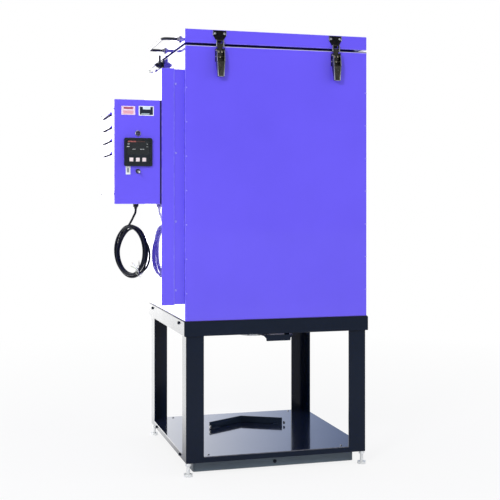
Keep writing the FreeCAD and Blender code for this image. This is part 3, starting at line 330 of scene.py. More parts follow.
def cord_line():
    """The drop, then a circle about the coil's centre whose bundle offset turns one strand per turn.
    By humps over the angle, the last turn bulges out on the right, and the first and the last turn lie
    inside at the upper left. By a cosine, the second turn lies inside at the bottom. The free end
    leaves the bundle forwards and down by a square of its share of the free angle."""
    turns = np.arange(0, COIL_TURNS * 2 * math.pi, 2 * math.pi / POINTS_PER_TURN) + COIL_START_ANGLE
    count = turns / (2 * math.pi)
    strand = turns / BUNDLE_STRANDS + STRAND_START
    loose = hump(turns, LOOSE_ANGLE) * np.clip((count - LOOSE_FROM) / LOOSE_WITHIN, 0, 1)
    lower = np.clip(-np.cos(turns), 0, 1) * np.clip(1 - np.abs(count - SAG_TURN) / 0.5, 0, 1)
    inner = hump(turns, INNER_ANGLE) * ((count < 1) | (count > 4))
    bulge = loose * LOOSE_BULGE - lower * SAG - inner * INNER_GAP
    ending = np.clip((turns - turns[-1]) / FREE_ANGLE + 1, 0, 1) ** 2
    radius = (COIL_MEAN_RADIUS + BUNDLE_OFFSET * np.cos(strand) + bulge) * ROUNDING + FREE_DROP * ending
    ahead = FREE_FORWARD * ending - BUNDLE_OFFSET * np.sin(strand)
    outwards = np.cos(turns)[:, None] * UP - np.sin(turns)[:, None] * COIL_SIDEWAYS
    ring = COIL_CENTRE + radius[:, None] * outwards + ahead[:, None] * COIL_FORWARDS
    return np.vstack([CORD_EXIT + CORD_DROP, ring])


RUBBER = finish("cord_rubber", (0.002, 0.004, 0.009), (0.006, 0.009, 0.020), 0.40, ior=1.33, grain=0.0006,
                mottle=0.03)


def cord_curve(name, points, radius, material):
    """A smooth round line on the oven through its control points, kept as one open spline."""
    data = bpy.data.curves.new(name, "CURVE")
    data.dimensions = "3D"
    data.bevel_depth = radius
    data.bevel_resolution = 4
    data.resolution_u = 6
    data.use_fill_caps = True
    spline = data.splines.new("NURBS")
    spline.points.add(len(points) - 1)
    spline.points.foreach_set("co", np.hstack([points, np.ones((len(points), 1))]).ravel())
    spline.order_u = 3
    spline.use_endpoint_u = True
    data.materials.append(material)
    piece = bpy.data.objects.new(name, data)
    bpy.context.scene.collection.objects.link(piece)
    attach(piece, "oven")
    return piece


cord_points = cord_line()
power_cord = cord_curve("power_cord_jacket", cord_points, CORD_RADIUS, RUBBER)
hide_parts("power_cord", "cord_coil")

# The cord's stripped end
# Three insulated conductors splay from the cut jacket, with a few millimetres of bare copper at
# the end of each. They are short and stiff enough to stand out by themselves.
CONDUCTOR_RADIUS = 0.0013
CONDUCTOR_LEAD = 0.020
CONDUCTOR_STACK = 0.0018
CONDUCTOR_STAGGER = 0.0015
CONDUCTOR_CURVE = 1.3
CUT_OVERLAP = 0.002
COPPER_LENGTH = 0.006
COPPER_OVERLAP = 0.001
COPPER_SHARE = 0.6
CONDUCTORS = {"black": ((0.010, 0.010, 0.012), 0.008, 0.040, 0.006),
              "white": ((0.80, 0.81, 0.78), -0.022, 0.032, 0.010),
              "green": ((0.40, 0.48, 0.36), -0.040, 0.019, 0.004)}
COPPER = finish("bare_copper", (0.34, 0.20, 0.13), (0.46, 0.28, 0.19), 0.35, metallic=1.0, mottle=0.004)


def end_heading(points):
    """The direction of a line's last step."""
    step = points[-1] - points[-2]
    return step / np.linalg.norm(step)


cord_heading = end_heading(cord_points)
end_pieces = []
for number, (tone_name, (tone, sideways, upward, forward)) in enumerate(CONDUCTORS.items()):
    steps = np.linspace(0, 1, 7)[:, None]
    start = (cord_points[-1] - cord_heading * CUT_OVERLAP + UP * CONDUCTOR_STACK * (number - 1)
             + COIL_FORWARDS * CONDUCTOR_STAGGER * (number == 1))
    line = (start + cord_heading * CONDUCTOR_LEAD * steps * (1 - steps)
            + COIL_SIDEWAYS * sideways * steps ** 2 + UP * upward * steps ** CONDUCTOR_CURVE
            + COIL_FORWARDS * forward * steps)
    skin = finish("conductor_" + tone_name, tone, tuple(1.2 * part for part in tone), 0.4, mottle=0.01)
    wire = cord_curve("conductor_" + tone_name, line, CONDUCTOR_RADIUS, skin)
    lengths = np.array([-COPPER_OVERLAP, COPPER_LENGTH / 2, COPPER_LENGTH])[:, None]
    tip = cord_curve("copper_" + tone_name, line[-1] + lengths * end_heading(line),
                     CONDUCTOR_RADIUS * COPPER_SHARE, COPPER)
    end_pieces += [wire, tip]

# The coil's tie
# A pale plastic-covered wire wound two and a half times round the coiled strands at the
# lower right, with its two ends bent away.
TIE_ANGLE = math.radians(217)
TIE_TURNS = 2.5
TIE_SLACK = 0.0022
TIE_FLARE = 0.009
TIE_PITCH = 0.0008
TIE_WIRE_RADIUS = 0.0008
tie_turn = np.linspace(0, TIE_TURNS * 2 * math.pi, 41)[:, None]
tie_outwards = UP * math.cos(TIE_ANGLE) - COIL_SIDEWAYS * math.sin(TIE_ANGLE)
tie_along = -UP * math.sin(TIE_ANGLE) - COIL_SIDEWAYS * math.cos(TIE_ANGLE)
tie_flare = TIE_FLARE * (2 * tie_turn / tie_turn[-1] - 1) ** 12
tie_radius = BUNDLE_OFFSET + CORD_RADIUS + TIE_SLACK + tie_flare
tie_line = (COIL_CENTRE + (COIL_MEAN_RADIUS + tie_radius * np.cos(tie_turn)) * tie_outwards
            + tie_radius * np.sin(tie_turn) * COIL_FORWARDS
            + (tie_turn - tie_turn.mean()) * TIE_PITCH * tie_along)
TIE_SKIN = finish("tie_wire", (0.56, 0.59, 0.52), (0.66, 0.69, 0.62), 0.4, mottle=0.01)
end_pieces.append(cord_curve("coil_tie", tie_line, TIE_WIRE_RADIUS, TIE_SKIN))

# The cable gland
# A black nylon gland under the control box: a hexagon, and a dome nut whose ribs are
# moulded in, screwed down so that it grips the cord.
GLAND_CENTRE = np.array([-0.338, -0.041, 0.943])
GLAND_HEX_RADIUS = 0.0112
GLAND_PROFILE = [(0.0, 1.0), (0.0056, 1.0), (0.0062, 0.95)]
NUT_PROFILE = [(0.0062, 0.0090), (0.0066, 0.0098), (0.0084, 0.0098), (0.0104, 0.0080), (0.0118, 0.0062),
               (0.0128, 0.0053), (0.0176, 0.0048), (0.0184, 0.0043), (0.0184, 0.0041)]
NUT_RIBS = 18
NUT_RIB_DEPTH = 0.0003


def grid_faces(rows, columns, first):
    """Quads of a grid whose columns close into a ring; rows run from end to end."""
    row, column = np.meshgrid(np.arange(rows - 1), np.arange(columns), indexing="ij")
    following = (column + 1) % columns
    corners = [row * columns + column, row * columns + following,
               (row + 1) * columns + following, (row + 1) * columns + column]
    return (np.stack([corner.ravel() for corner in corners], axis=1) + first).tolist()


def surface_piece(name, grids, material, body="oven", sharp=35):
    """One piece from grids of points (rows, columns, xyz), each closed round its columns.
    A row that shrinks to a point closes the end; faces are turned outwards."""
    points, faces, count = [], [], 0
    for grid in grids:
        rows, columns = grid.shape[:2]
        faces += grid_faces(rows, columns, count)
        points.append(grid.reshape(-1, 3))
        count += rows * columns
    mesh = bpy.data.meshes.new(name)
    mesh.from_pydata(np.vstack(points).tolist(), [], faces)
    tidy = bmesh.new()
    tidy.from_mesh(mesh)
    bmesh.ops.remove_doubles(tidy, verts=tidy.verts, dist=0.0000005)
    bmesh.ops.dissolve_degenerate(tidy, edges=tidy.edges, dist=0.0000005)
    bmesh.ops.recalc_face_normals(tidy, faces=tidy.faces)
    tidy.to_mesh(mesh)
    tidy.free()
    mesh.polygons.foreach_set("use_smooth", [True] * len(mesh.polygons))
    mesh.set_sharp_from_angle(angle=math.radians(sharp))
    mesh.materials.append(material)
    piece = bpy.data.objects.new(name, mesh)
    bpy.context.scene.collection.objects.link(piece)
    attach(piece, body)
    return piece


def turning(profile, start, axis, sides=24, ribs=0, rib_depth=0.0):
    """A profile of (height, radius) turned round an axis: start + height axis + radius (cos, sin).
    Ribs add a cosine of the angle to the radius. Both ends are closed to a point."""
    axis = np.array(axis, float)
    across = np.cross(axis, [0.0, 0.0, 1.0] if abs(axis[2]) < 0.9 else [1.0, 0.0, 0.0])
    across = across / np.linalg.norm(across)
    other = np.cross(axis, across)
    profile = [(profile[0][0], 0.0)] + list(profile) + [(profile[-1][0], 0.0)]
    height, radius = np.array(profile, float).T
    angle = np.arange(sides) * 2 * math.pi / sides
    reach = radius[:, None] + np.where(radius > 0, rib_depth, 0.0)[:, None] * np.cos(ribs * angle)
    ring = np.cos(angle)[:, None] * across + np.sin(angle)[:, None] * other
    return np.array(start, float) + height[:, None, None] * axis + reach[:, :, None] * ring


BLACK_NYLON = finish("black_nylon", (0.008, 0.009, 0.013), (0.016, 0.018, 0.025), 0.36, mottle=0.03)
dress(BLACK_NYLON, "cable_gland")
gland_hexagon = [(height, radius * GLAND_HEX_RADIUS) for height, radius in GLAND_PROFILE]
gland_nut = surface_piece("cable_gland_nut", [
    turning(gland_hexagon, GLAND_CENTRE, (0, 0, -1), sides=6),
    turning(NUT_PROFILE, GLAND_CENTRE, (0, 0, -1), sides=90, ribs=NUT_RIBS, rib_depth=NUT_RIB_DEPTH)],
    BLACK_NYLON, "oven", sharp=28)
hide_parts("cable_gland")

# The stand
# Legs and rails of mild steel angle, mitred and welded, in a near-black navy enamel that
# is glossy at a low angle, with the weld beads painted over.
STAND_DARK = (0.0010, 0.0050, 0.0160)
STAND_LIGHT = (0.0025, 0.0075, 0.0210)
STAND_PAINT = finish("stand_enamel", STAND_DARK, STAND_LIGHT, 0.18, ior=1.31, mottle=0.25, grain=0.0025,
                     height=0.00004, hollow=0.0006)
STAND_NAMES = [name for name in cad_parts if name.startswith(("stand_leg", "top_rail", "bottom_rail"))]
dress(STAND_PAINT, *STAND_NAMES, bevel=0.0012)
BEAD_RADIUS = 0.0028
BEAD_RIPPLE = 0.0022
LEG_TOE_IN = 0.005
RAIL_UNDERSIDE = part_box("top_rail_front")[0][2]


def weld_bead(start, end):
    """A bead along a line: its radius swells by a sine of the distance, one ripple each pitch."""
    start, end = np.array(start, float), np.array(end, float)
    length = np.linalg.norm(end - start)
    steps = np.arange(0, length, BEAD_RIPPLE / 4)
    swell = BEAD_RADIUS * (0.86 + 0.14 * np.abs(np.sin(math.pi * steps / BEAD_RIPPLE)))
    return turning(list(zip(steps, swell)), start, (end - start) / length, sides=10)


weld_beads = []
for row in ("front", "back"):
    for side in ("left", "right"):
        low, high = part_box("stand_leg_%s_%s" % (row, side))
        face_y = low[1] if row == "front" else high[1]
        face_x = low[0] if side == "left" else high[0]
        weld_beads.append(weld_bead((low[0] + LEG_TOE_IN, face_y, RAIL_UNDERSIDE),
                                    (high[0] - LEG_TOE_IN, face_y, RAIL_UNDERSIDE)))
        weld_beads.append(weld_bead((face_x, low[1] + LEG_TOE_IN, RAIL_UNDERSIDE),
                                    (face_x, high[1] - LEG_TOE_IN, RAIL_UNDERSIDE)))
surface_piece("stand_weld_beads", weld_beads, STAND_PAINT, "oven")

# Bolts in the stand
# Hexagon bolts with washers hold the side rails to the legs and the pan to the rails.
# They were fitted before painting and carry the same dark enamel.
BOLT_HEAD = [(0.0, 0.0053), (0.0036, 0.0053), (0.0043, 0.0046)]
BOLT_WASHER = [(0.0, 0.0066), (0.0010, 0.0066), (0.0013, 0.0063)]
BOLT_LIFT = 0.0011
RAIL_BOLTS = (("top_rail", 0.524, (-0.243, 0.274)), ("bottom_rail", 0.0555, (-0.225, 0.225)))
PAN_BOLT = (0.122, 0.0065, 0.024)
ZINC = finish("zinc_plate", (0.36, 0.36, 0.35), (0.56, 0.56, 0.54), 0.30, metallic=1.0, mottle=0.012)


def bolt(place, axis):
    """A washer and a hexagon head turned on one axis."""
    place, axis = np.array(place, float), np.array(axis, float)
    return [turning(BOLT_WASHER, place, axis, sides=20),
            turning(BOLT_HEAD, place + axis * BOLT_LIFT, axis, sides=6)]


bolts = []
for rail, height, places in RAIL_BOLTS:
    left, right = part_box(rail + "_left")[0][0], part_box(rail + "_right")[1][0]
    for back in places:
        bolts += bolt((left, back, height), (-1, 0, 0)) + bolt((right, back, height), (1, 0, 0))
pan_low, pan_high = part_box("plinth")
for y, way in ((pan_low[1], -1), (pan_high[1], 1)):
    bolts += bolt((PAN_BOLT[0], y, PAN_BOLT[2]), (0, way, 0))
for x, way in ((pan_low[0], -1), (pan_high[0], 1)):
    bolts += bolt((x, PAN_BOLT[1], PAN_BOLT[2]), (way, 0, 0))
surface_piece("stand_bolts", bolts, STAND_PAINT, "oven")

# The shelf, the pail stop, the pan and the feet
# A blue-black gloss sheet lies on the bottom rails, with a V-shaped bar on it that centres a
# pail; the bar's enamel is paler than the stand's, painted light for the shade it stands in.
# Below is a recessed pan in blue-grey paint, on four zinc-plated levelling feet whose pale
# zinc is a painted highlight for the glare on them.
SHELF_PAINT = finish("shelf_gloss", (0.006, 0.010, 0.028), (0.010, 0.016, 0.042), 0.14, coat=1.0,
                     mottle=0.3, grain=0.006, height=0.00001, hollow=0.0010,
                     edges=(*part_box("shelf"), 0.003, (0.10, 0.10, 0.12)))
# The stop's enamel is a paler copy of the stand's, painted light that makes up for its shade.
STOP_LIFTED_FOR_SHADE = finish("stop_enamel_lifted_for_shade", (0.008, 0.015, 0.030), (0.012, 0.020, 0.038), 0.4, ior=1.3, mottle=0.05)
# The feet's zinc is a near-white copy, a painted highlight for the glare on them.
FOOT_ZINC_PAINTED_GLARE = finish("foot_zinc_painted_glare", (0.78, 0.79, 0.79), (0.88, 0.89, 0.89), 0.35, metallic=0.3, mottle=0.012)
PAN_PAINT = finish("pan_paint", (0.078, 0.106, 0.138), (0.108, 0.142, 0.176), 0.34,
                   hollow=0.0006, edges=(pan_low, pan_high, 0.006, (0.16, 0.18, 0.20)))
dress(SHELF_PAINT, "shelf")
dress(STOP_LIFTED_FOR_SHADE, "pail_stop", bevel=0.0008)
dress(PAN_PAINT, "plinth", bevel=0.002)
dress(FOOT_ZINC_PAINTED_GLARE, "levelling_feet")
SCREW_HEAD = [(0.0, 0.0042), (0.0009, 0.0041), (0.0019, 0.0033), (0.0024, 0.0020), (0.0024, 0.0016),
              (0.0012, 0.0014)]
SHELF_SCREW_INSETS = (0.085, 0.022)
STOP_BOLT_LIFT = 0.0095


def screw(place, axis):
    """A pan head with a small recess."""
    return turning(SCREW_HEAD, place, axis, sides=20)


shelf_low, shelf_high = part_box("shelf")
stop_low, stop_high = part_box("pail_stop")
screws = []
for x in (shelf_low[0] + SHELF_SCREW_INSETS[0], shelf_high[0] - SHELF_SCREW_INSETS[0]):
    for y in (shelf_low[1] + SHELF_SCREW_INSETS[1], shelf_high[1] - SHELF_SCREW_INSETS[1]):
        screws.append(screw((x, y, shelf_high[2]), (0, 0, 1)))
for x, way in ((stop_low[0] + 0.001, -1), (stop_high[0] - 0.001, 1)):
    screws += bolt((x, stop_low[1] + 0.004, shelf_high[2] + STOP_BOLT_LIFT), (way, 0, 0))
surface_piece("shelf_screws", screws, ZINC)

# The oven's panels
# Folded sheet panels in a violet-blue gloss enamel, with a soft orange-peel skin and the
# slow hollows of thin sheet. The faces that line the oven are bare aluminised steel.
BLUE_DARK = (0.118, 0.080, 0.81)
BLUE_LIGHT = (0.136, 0.092, 0.89)
BLUE_WORN = (0.23, 0.19, 0.90)
LINING_TONE = (0.62, 0.63, 0.64)
cavity_low = np.array(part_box("lid_plug")[0]) - 0.013
cavity_high = np.array(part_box("lid_plug")[1]) + 0.009
cavity_low[2], cavity_high[2] = 0.5465, 1.4935
LINING_ZONE = (tuple(cavity_low), tuple(cavity_high), LINING_TONE, 0.38, 0.35)


def blue_paint(name, low, high, zones=()):
    """The gloss enamel on one boxed panel, thinned to a paler tone along its edges."""
    return finish(name, BLUE_DARK, BLUE_LIGHT, 0.07, coat=0.8, mottle=0.45, grain=0.0028, height=0.000008,
                  hollow=0.0008, edges=(low, high, 0.0035, BLUE_WORN), zones=zones)


body_low = np.array(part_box("base_plate")[0])
body_high = np.array(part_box("rim_frame")[1])
WALL_PAINT = blue_paint("wall_enamel", body_low, body_high, zones=(LINING_ZONE,))
dress(WALL_PAINT, "front_wall", "back_wall", "left_wall", "right_wall", "rim_frame", "base_plate")

# Rivets in the panels
# Small blind rivets close the panels' upright seams at an even pitch, painted over in a paler
# tone that is a painted highlight on their heads.
RIVET_DOME = [(0.0, 0.0027), (0.0004, 0.0026), (0.0009, 0.0020), (0.0012, 0.0010)]
RIVET_HEIGHTS = 0.634 + 0.1185 * np.arange(7)
RIVET_INSET = 0.0052
# The paler enamel is a painted highlight on the rivet and screw heads.
RIVET_HIGHLIGHT_PAINT = finish("rivet_enamel_painted_highlight", (0.20, 0.16, 0.86), (0.32, 0.28, 0.92), 0.25, coat=0.8, mottle=0.004)
rivet_x = (body_low[0] + RIVET_INSET, body_high[0] - RIVET_INSET)
rivet_y = (body_low[1] + RIVET_INSET, body_high[1] - RIVET_INSET)
rivet_places = []
for height in RIVET_HEIGHTS:
    for x in rivet_x:
        rivet_places += [((x, body_low[1], height), (0, -1, 0)), ((x, body_high[1], height), (0, 1, 0))]
    rivet_places += [((body_high[0], y, height), (1, 0, 0)) for y in rivet_y]
rivets = [turning(RIVET_DOME, place, axis, sides=14) for place, axis in rivet_places]
surface_piece("panel_rivets", rivets, RIVET_HIGHLIGHT_PAINT, "oven")

# The rim's edge trim
# A black rubber bead on the rim's outer edge, where the lid shuts, is painted shade that thickens
# the dark gap under the lid. Below it a thin pale strip is a painted highlight of the rim's top edge.
TRIM_HEIGHT = 0.0026
HIGHLIGHT_STRIP_HEIGHT = 0.0019
TRIM_PROUD = 0.0007
TRIM_TOP_WIDTH = 0.006
STAINLESS = finish("brushed_stainless", (0.44, 0.45, 0.46), (0.60, 0.61, 0.62), 0.28, metallic=1.0,
                   mottle=0.05)


def frame_strip(low, high, profile, corner):
    """A profile of (inward, height) carried round a rectangle with rounded corners: each point is the
    corner's centre plus (corner - inward) in the direction of the outline's normal."""
    quarter = np.linspace(0, math.pi / 2, 5)
    points = []
    for turn, (x, y) in enumerate(((high[0] - corner, high[1] - corner), (low[0] + corner, high[1] - corner),
                                   (low[0] + corner, low[1] + corner), (high[0] - corner, low[1] + corner))):
        angle = quarter + turn * math.pi / 2
        points.append(np.stack([np.full(5, x), np.full(5, y), np.cos(angle), np.sin(angle)], axis=1))
    path = np.vstack(points)
    inward, height = np.array(profile + profile[:1], float).T
    reach = corner - inward[:, None]
    ring_x = path[:, 0] + reach * path[:, 2]
    ring_y = path[:, 1] + reach * path[:, 3]
    return np.stack([ring_x, ring_y, np.broadcast_to(height[:, None], ring_x.shape)], axis=2)


TRIM_CORNER = 0.0035
rim_low, rim_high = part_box("rim_frame")
bead_top = rim_high[2] + 0.00015
strip_top = rim_high[2] - TRIM_HEIGHT
bead_profile = [(-TRIM_PROUD, strip_top), (-TRIM_PROUD, rim_high[2] - 0.0012), (0.0005, bead_top),
                (TRIM_TOP_WIDTH, bead_top), (TRIM_TOP_WIDTH, rim_high[2] - 0.0002),
                (0.0022, rim_high[2] - 0.0006), (0.0004, strip_top)]
highlight_strip_profile = [(-TRIM_PROUD, strip_top - HIGHLIGHT_STRIP_HEIGHT), (-TRIM_PROUD, strip_top), (0.0004, strip_top),
                 (0.0004, strip_top - HIGHLIGHT_STRIP_HEIGHT)]
# Black rubber: on the rim it is painted shade for the lid gap, on the body's foot a seal.
GAP_SHADE_AND_SEAL_RUBBER = finish("gap_shade_and_seal_rubber", (0.004, 0.004, 0.016), (0.009, 0.009, 0.026), 0.5, mottle=0.05)
surface_piece("rim_gap_shade_bead", [frame_strip(rim_low, rim_high, bead_profile, TRIM_CORNER)],
              GAP_SHADE_AND_SEAL_RUBBER, "oven")
# The pale strip is a painted highlight of the rim's rounded top edge.
RIM_HIGHLIGHT_PAINT = finish("rim_highlight_paint", (0.50, 0.46, 0.88), (0.66, 0.62, 0.95), 0.2, coat=0.8, mottle=0.2)
surface_piece("rim_highlight_strip", [frame_strip(rim_low, rim_high, highlight_strip_profile, TRIM_CORNER)],
              RIM_HIGHLIGHT_PAINT, "oven")

# The body's lower seal
# A black sealing strip lies on the top rails round the foot of the body.
SEAL_HEIGHT = 0.0026
SEAL_PROUD = 0.0034
foot_profile = [(-SEAL_PROUD, body_low[2]), (-SEAL_PROUD, body_low[2] + SEAL_HEIGHT * 0.7),
                (-SEAL_PROUD * 0.6, body_low[2] + SEAL_HEIGHT), (0.0004, body_low[2] + SEAL_HEIGHT),
                (0.0004, body_low[2])]
surface_piece("body_foot_seal", [frame_strip(body_low, body_high, foot_profile, TRIM_CORNER)],
              GAP_SHADE_AND_SEAL_RUBBER, "oven")

# The lid
# A shallow folded case in the same enamel, closed below by a bright tray that holds the
# insulation and plugs the oven's mouth.
lid_low, lid_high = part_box("lid_shell")
dress(blue_paint("lid_enamel", lid_low, lid_high), "lid_shell")
plug_low, plug_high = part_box("lid_plug")
PLUG_METAL = finish("lid_tray_steel", (0.46, 0.47, 0.48), (0.54, 0.55, 0.56), 0.42, metallic=1.0, mottle=0.09,
                    grain=0.0007, hollow=0.0006, edges=(plug_low, plug_high, 0.004, (0.70, 0.70, 0.70)))
dress(PLUG_METAL, "lid_plug", bevel=0.002)
TRAY_SCREW_INSET = 0.03
tray_x = np.linspace(plug_low[0] + TRAY_SCREW_INSET, plug_high[0] - TRAY_SCREW_INSET, 4)
tray_y = np.linspace(plug_low[1] + TRAY_SCREW_INSET, plug_high[1] - TRAY_SCREW_INSET, 4)
tray_places = [(x, y) for x in tray_x for y in tray_y[[0, -1]]]
tray_places += [(x, y) for y in tray_y[1:-1] for x in tray_x[[0, -1]]]
tray_screws = [screw((x, y, plug_low[2]), (0, 0, -1)) for x, y in tray_places]
surface_piece("lid_tray_screws", tray_screws, ZINC, "lid")

# The lid's rope seal
# A flat braided rope, blackened with graphite, is glued round the lid's underside.
SEAL_WIDTH = 0.0195
SEAL_CORNER = 0.022
BRAID_PITCH = 0.012
BRAID_RELIEF = 0.00045
SEAL_AROUND = 18
seal_low, seal_high = np.array(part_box("lid_gasket"))


def braided_rope(low, high, corner):
    """A superellipse section carried round a rounded rectangle, with crossing strands: relief is the
    product of two sines that run along the rope plus and minus twice the angle round it."""
    low_line, high_line = low[:2] + SEAL_WIDTH / 2, high[:2] - SEAL_WIDTH / 2
    side = high_line - low_line - 2 * corner
    legs = [side[1], corner * math.pi / 2, side[0], corner * math.pi / 2] * 2
    step = BRAID_PITCH / 6
    path = []
    x, y, heading = high_line[0], low_line[1] + corner, math.pi / 2
    for number, leg in enumerate(legs):
        count = max(int(round(leg / step)), 6)
        along = np.arange(count) / count * leg
        if number % 2 == 0:
            path.append(np.stack([x + along * math.cos(heading), y + along * math.sin(heading),
                                  np.full(count, heading)], axis=1))
            x, y = x + leg * math.cos(heading), y + leg * math.sin(heading)
        else:
            turn = heading + along / corner
            centre = (x - corner * math.sin(heading), y + corner * math.cos(heading))
            path.append(np.stack([centre[0] + corner * np.sin(turn), centre[1] - corner * np.cos(turn), turn],
                                 axis=1))
            heading += math.pi / 2
            x, y = centre[0] + corner * math.sin(heading), centre[1] - corner * math.cos(heading)
    path = np.vstack(path)
    distance = np.arange(len(path)) * step
    angle = np.arange(SEAL_AROUND) * 2 * math.pi / SEAL_AROUND
    wide = np.sign(np.cos(angle)) * np.abs(np.cos(angle)) ** 0.7
    tall = np.sign(np.sin(angle)) * np.abs(np.sin(angle)) ** 0.7
    phase = 2 * math.pi * distance[:, None] / BRAID_PITCH
    relief = BRAID_RELIEF * np.sin(phase + 2 * angle) * np.sin(phase - 2 * angle)
    half_wide = SEAL_WIDTH / 2 - BRAID_RELIEF + relief
    half_tall = (high[2] - low[2]) / 2 - BRAID_RELIEF + relief
    out = half_wide * wide
    points = np.stack([path[:, 0:1] + out * np.sin(path[:, 2:3]), path[:, 1:2] - out * np.cos(path[:, 2:3]),
                       (low[2] + high[2]) / 2 + half_tall * tall], axis=2)
    return np.concatenate([points, points[:1]])


GRAPHITE_ROPE = finish("graphite_rope", (0.010, 0.010, 0.012), (0.035, 0.035, 0.038), 0.85, mottle=0.008)
seal_rope = surface_piece("lid_rope_seal", [braided_rope(seal_low, seal_high, SEAL_CORNER)],
                          GRAPHITE_ROPE, "lid")
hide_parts("lid_gasket")

# The lid's hinges
# Two zinc-plated butt hinges on the back, each leaf held by three hexagon bolts.
dress(ZINC, "hinge_body_leaves", "hinge_lid_leaves", bevel=0.0003)
LEAF_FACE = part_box("hinge_body_leaves")[0][1] + 0.0025
HINGE_MIDDLES = (-0.088, 0.332)
HINGE_BOLT_PITCH = 0.038
for leaf, body, height in (("body", "oven", 1.469), ("lid", "lid", 1.525)):
    leaf_bolts = []
    for middle in HINGE_MIDDLES:
        for offset in (-HINGE_BOLT_PITCH, 0.0, HINGE_BOLT_PITCH):
            leaf_bolts += bolt((middle + offset, LEAF_FACE, height), (0, 1, 0))
    surface_piece("hinge_bolts_" + leaf, leaf_bolts, ZINC, body)

# The lid's side handle
# A round bar bent to a U in black enamel. A bright collar holds each end to the lid.
BLACK_ENAMEL = finish("black_enamel", (0.006, 0.008, 0.014), (0.012, 0.015, 0.024), 0.26, coat=0.3,
                      mottle=0.04)
dress(BLACK_ENAMEL, "lid_side_handle")
handle_low, handle_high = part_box("lid_side_handle")
COLLAR = [(0.0, 0.0126), (0.0042, 0.0126), (0.0052, 0.0116), (0.0052, 0.0075), (0.0100, 0.0072),
          (0.0108, 0.0064)]
HANDLE_HEIGHT = (handle_low[2] + handle_high[2]) / 2
COLLAR_INSET = 0.012
collars = [turning(COLLAR, (lid_low[0], y, HANDLE_HEIGHT), (-1, 0, 0), sides=32)
           for y in (handle_low[1] + COLLAR_INSET, handle_high[1] - COLLAR_INSET)]
surface_piece("lid_handle_collars", collars, ZINC, "lid")

# The draw latches
# Blackened steel draw latches: a base with two ears, a channel-shaped lever, and a strap
# that pulls down the keeper on the lid. Rivets, screws and the rolled edges are left bright.
LATCH_METAL = finish("latch_steel", (0.075, 0.078, 0.068), (0.145, 0.138, 0.118), 0.24, metallic=1.0,
                     mottle=0.018, grain=0.0009)
KEEPER_METAL = finish("keeper_steel", (0.020, 0.022, 0.028), (0.045, 0.042, 0.045), 0.28, metallic=1.0,
                      mottle=0.012)
dress(LATCH_METAL, "latch_base_left", "latch_base_right", "latch_lever_left", "latch_lever_right",
      "latch_link_left", "latch_link_right", bevel=0.0003)
dress(KEEPER_METAL, "lid_keepers", bevel=0.0004)
BRASS = finish("rivet_brass", (0.62, 0.55, 0.38), (0.80, 0.74, 0.60), 0.22, metallic=1.0, mottle=0.006)
BRIGHT_STEEL = finish("bright_steel", (0.72, 0.73, 0.74), (0.88, 0.89, 0.90), 0.16, metallic=1.0, mottle=0.01)
PIN_HEAD = [(0.0, 0.0034), (0.0006, 0.0034), (0.0014, 0.0026), (0.0017, 0.0012)]
KEEPER_SCREW_OUT = 0.0165
KEEPER_SCREW_HEIGHT = 1.5355
LINK_PIN_OUT = 0.0144
PIVOT_OUT = 0.0154
PIVOT = (-0.345, 1.475)
LINK_PIN = (-0.340, 1.454)
LINK_FACE = -0.3445
LINK_RIVETS = ((-0.006, 1.471), (0.006, 1.471), (0.0, 1.4525))
CHEEK_EDGE = ((0.0135, -0.3529, 1.4740), (0.0135, -0.3583, 1.4370))
LEVER_EDGE = ((0.0127, -0.3574, 1.4355), (0.0098, -0.3554, 1.3845))
LINK_EDGE = ((0.0128, -0.3438, 1.4890), (0.0128, -0.3438, 1.5120))
KEEPER_EDGE = ((0.0232, -0.3340, 1.5290), (0.0232, -0.3340, 1.5445))


def rolled_edge(corners, middle, side, radius):
    """Round rods between corners of (out, y, z): a turned profile whose ends are half closed."""
    places = [np.array([middle + side * out, y, z]) for out, y, z in corners]
    rods = []
    for first, last in zip(places, places[1:]):
        length = np.linalg.norm(last - first)
        profile = [(0.0, 0.45 * radius), (0.3 * radius, 0.8 * radius), (radius, radius),
                   (length - radius, radius), (length - 0.3 * radius, 0.8 * radius), (length, 0.45 * radius)]
        rods.append(turning(profile, first, (last - first) / length, sides=20))
    return rods


def pin_heads(middle, out, place):
    """A dome on each end of a pin across a latch."""
    return [turning(PIN_HEAD, (middle + sign * out, *place), (sign, 0, 0), sides=18) for sign in (-1, 1)]


keeper_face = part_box("lid_keepers")[0][1] + 0.00375
keeper_screws, keeper_edges = [], []
for side in ("left", "right"):
    lever_low, lever_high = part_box("latch_lever_" + side)
    middle = (lever_low[0] + lever_high[0]) / 2
    lever, link = side + "_latch_lever", side + "_latch_link"
    lever_edges, link_edges = [], []
    for sign in (-1, 1):
        keeper_screws.append(screw((middle + sign * KEEPER_SCREW_OUT, keeper_face, KEEPER_SCREW_HEIGHT),
                                   (0, -1, 0)))
        lever_edges += rolled_edge(CHEEK_EDGE, middle, sign, 0.0013)
        lever_edges += rolled_edge(LEVER_EDGE, middle, sign, 0.0021)
        link_edges += rolled_edge(LINK_EDGE, middle, sign, 0.0015)
        keeper_edges += rolled_edge(KEEPER_EDGE, middle, sign, 0.0014)
    tip_out, *tip = LEVER_EDGE[-1]
    lever_edges += rolled_edge(((tip_out, *tip), (-tip_out, *tip)), middle, 1, 0.0018)
    face_rivets = [turning(PIN_HEAD, (middle + out, LINK_FACE, height), (0, -1, 0), sides=18)
                   for out, height in LINK_RIVETS]
    surface_piece("latch_link_rivets_" + side, pin_heads(middle, LINK_PIN_OUT, LINK_PIN), BRASS, lever)
    surface_piece("latch_pivot_rivets_" + side, pin_heads(middle, PIVOT_OUT, PIVOT), BRASS)
    surface_piece("latch_lever_edges_" + side, lever_edges, BRIGHT_STEEL, lever)
    surface_piece("latch_link_edges_" + side, link_edges, BRIGHT_STEEL, link)
    surface_piece("latch_face_rivets_" + side, face_rivets, BRASS, link)
surface_piece("keeper_edges", keeper_edges, BRIGHT_STEEL, "lid")
surface_piece("keeper_screws", keeper_screws, BRIGHT_STEEL, "lid")

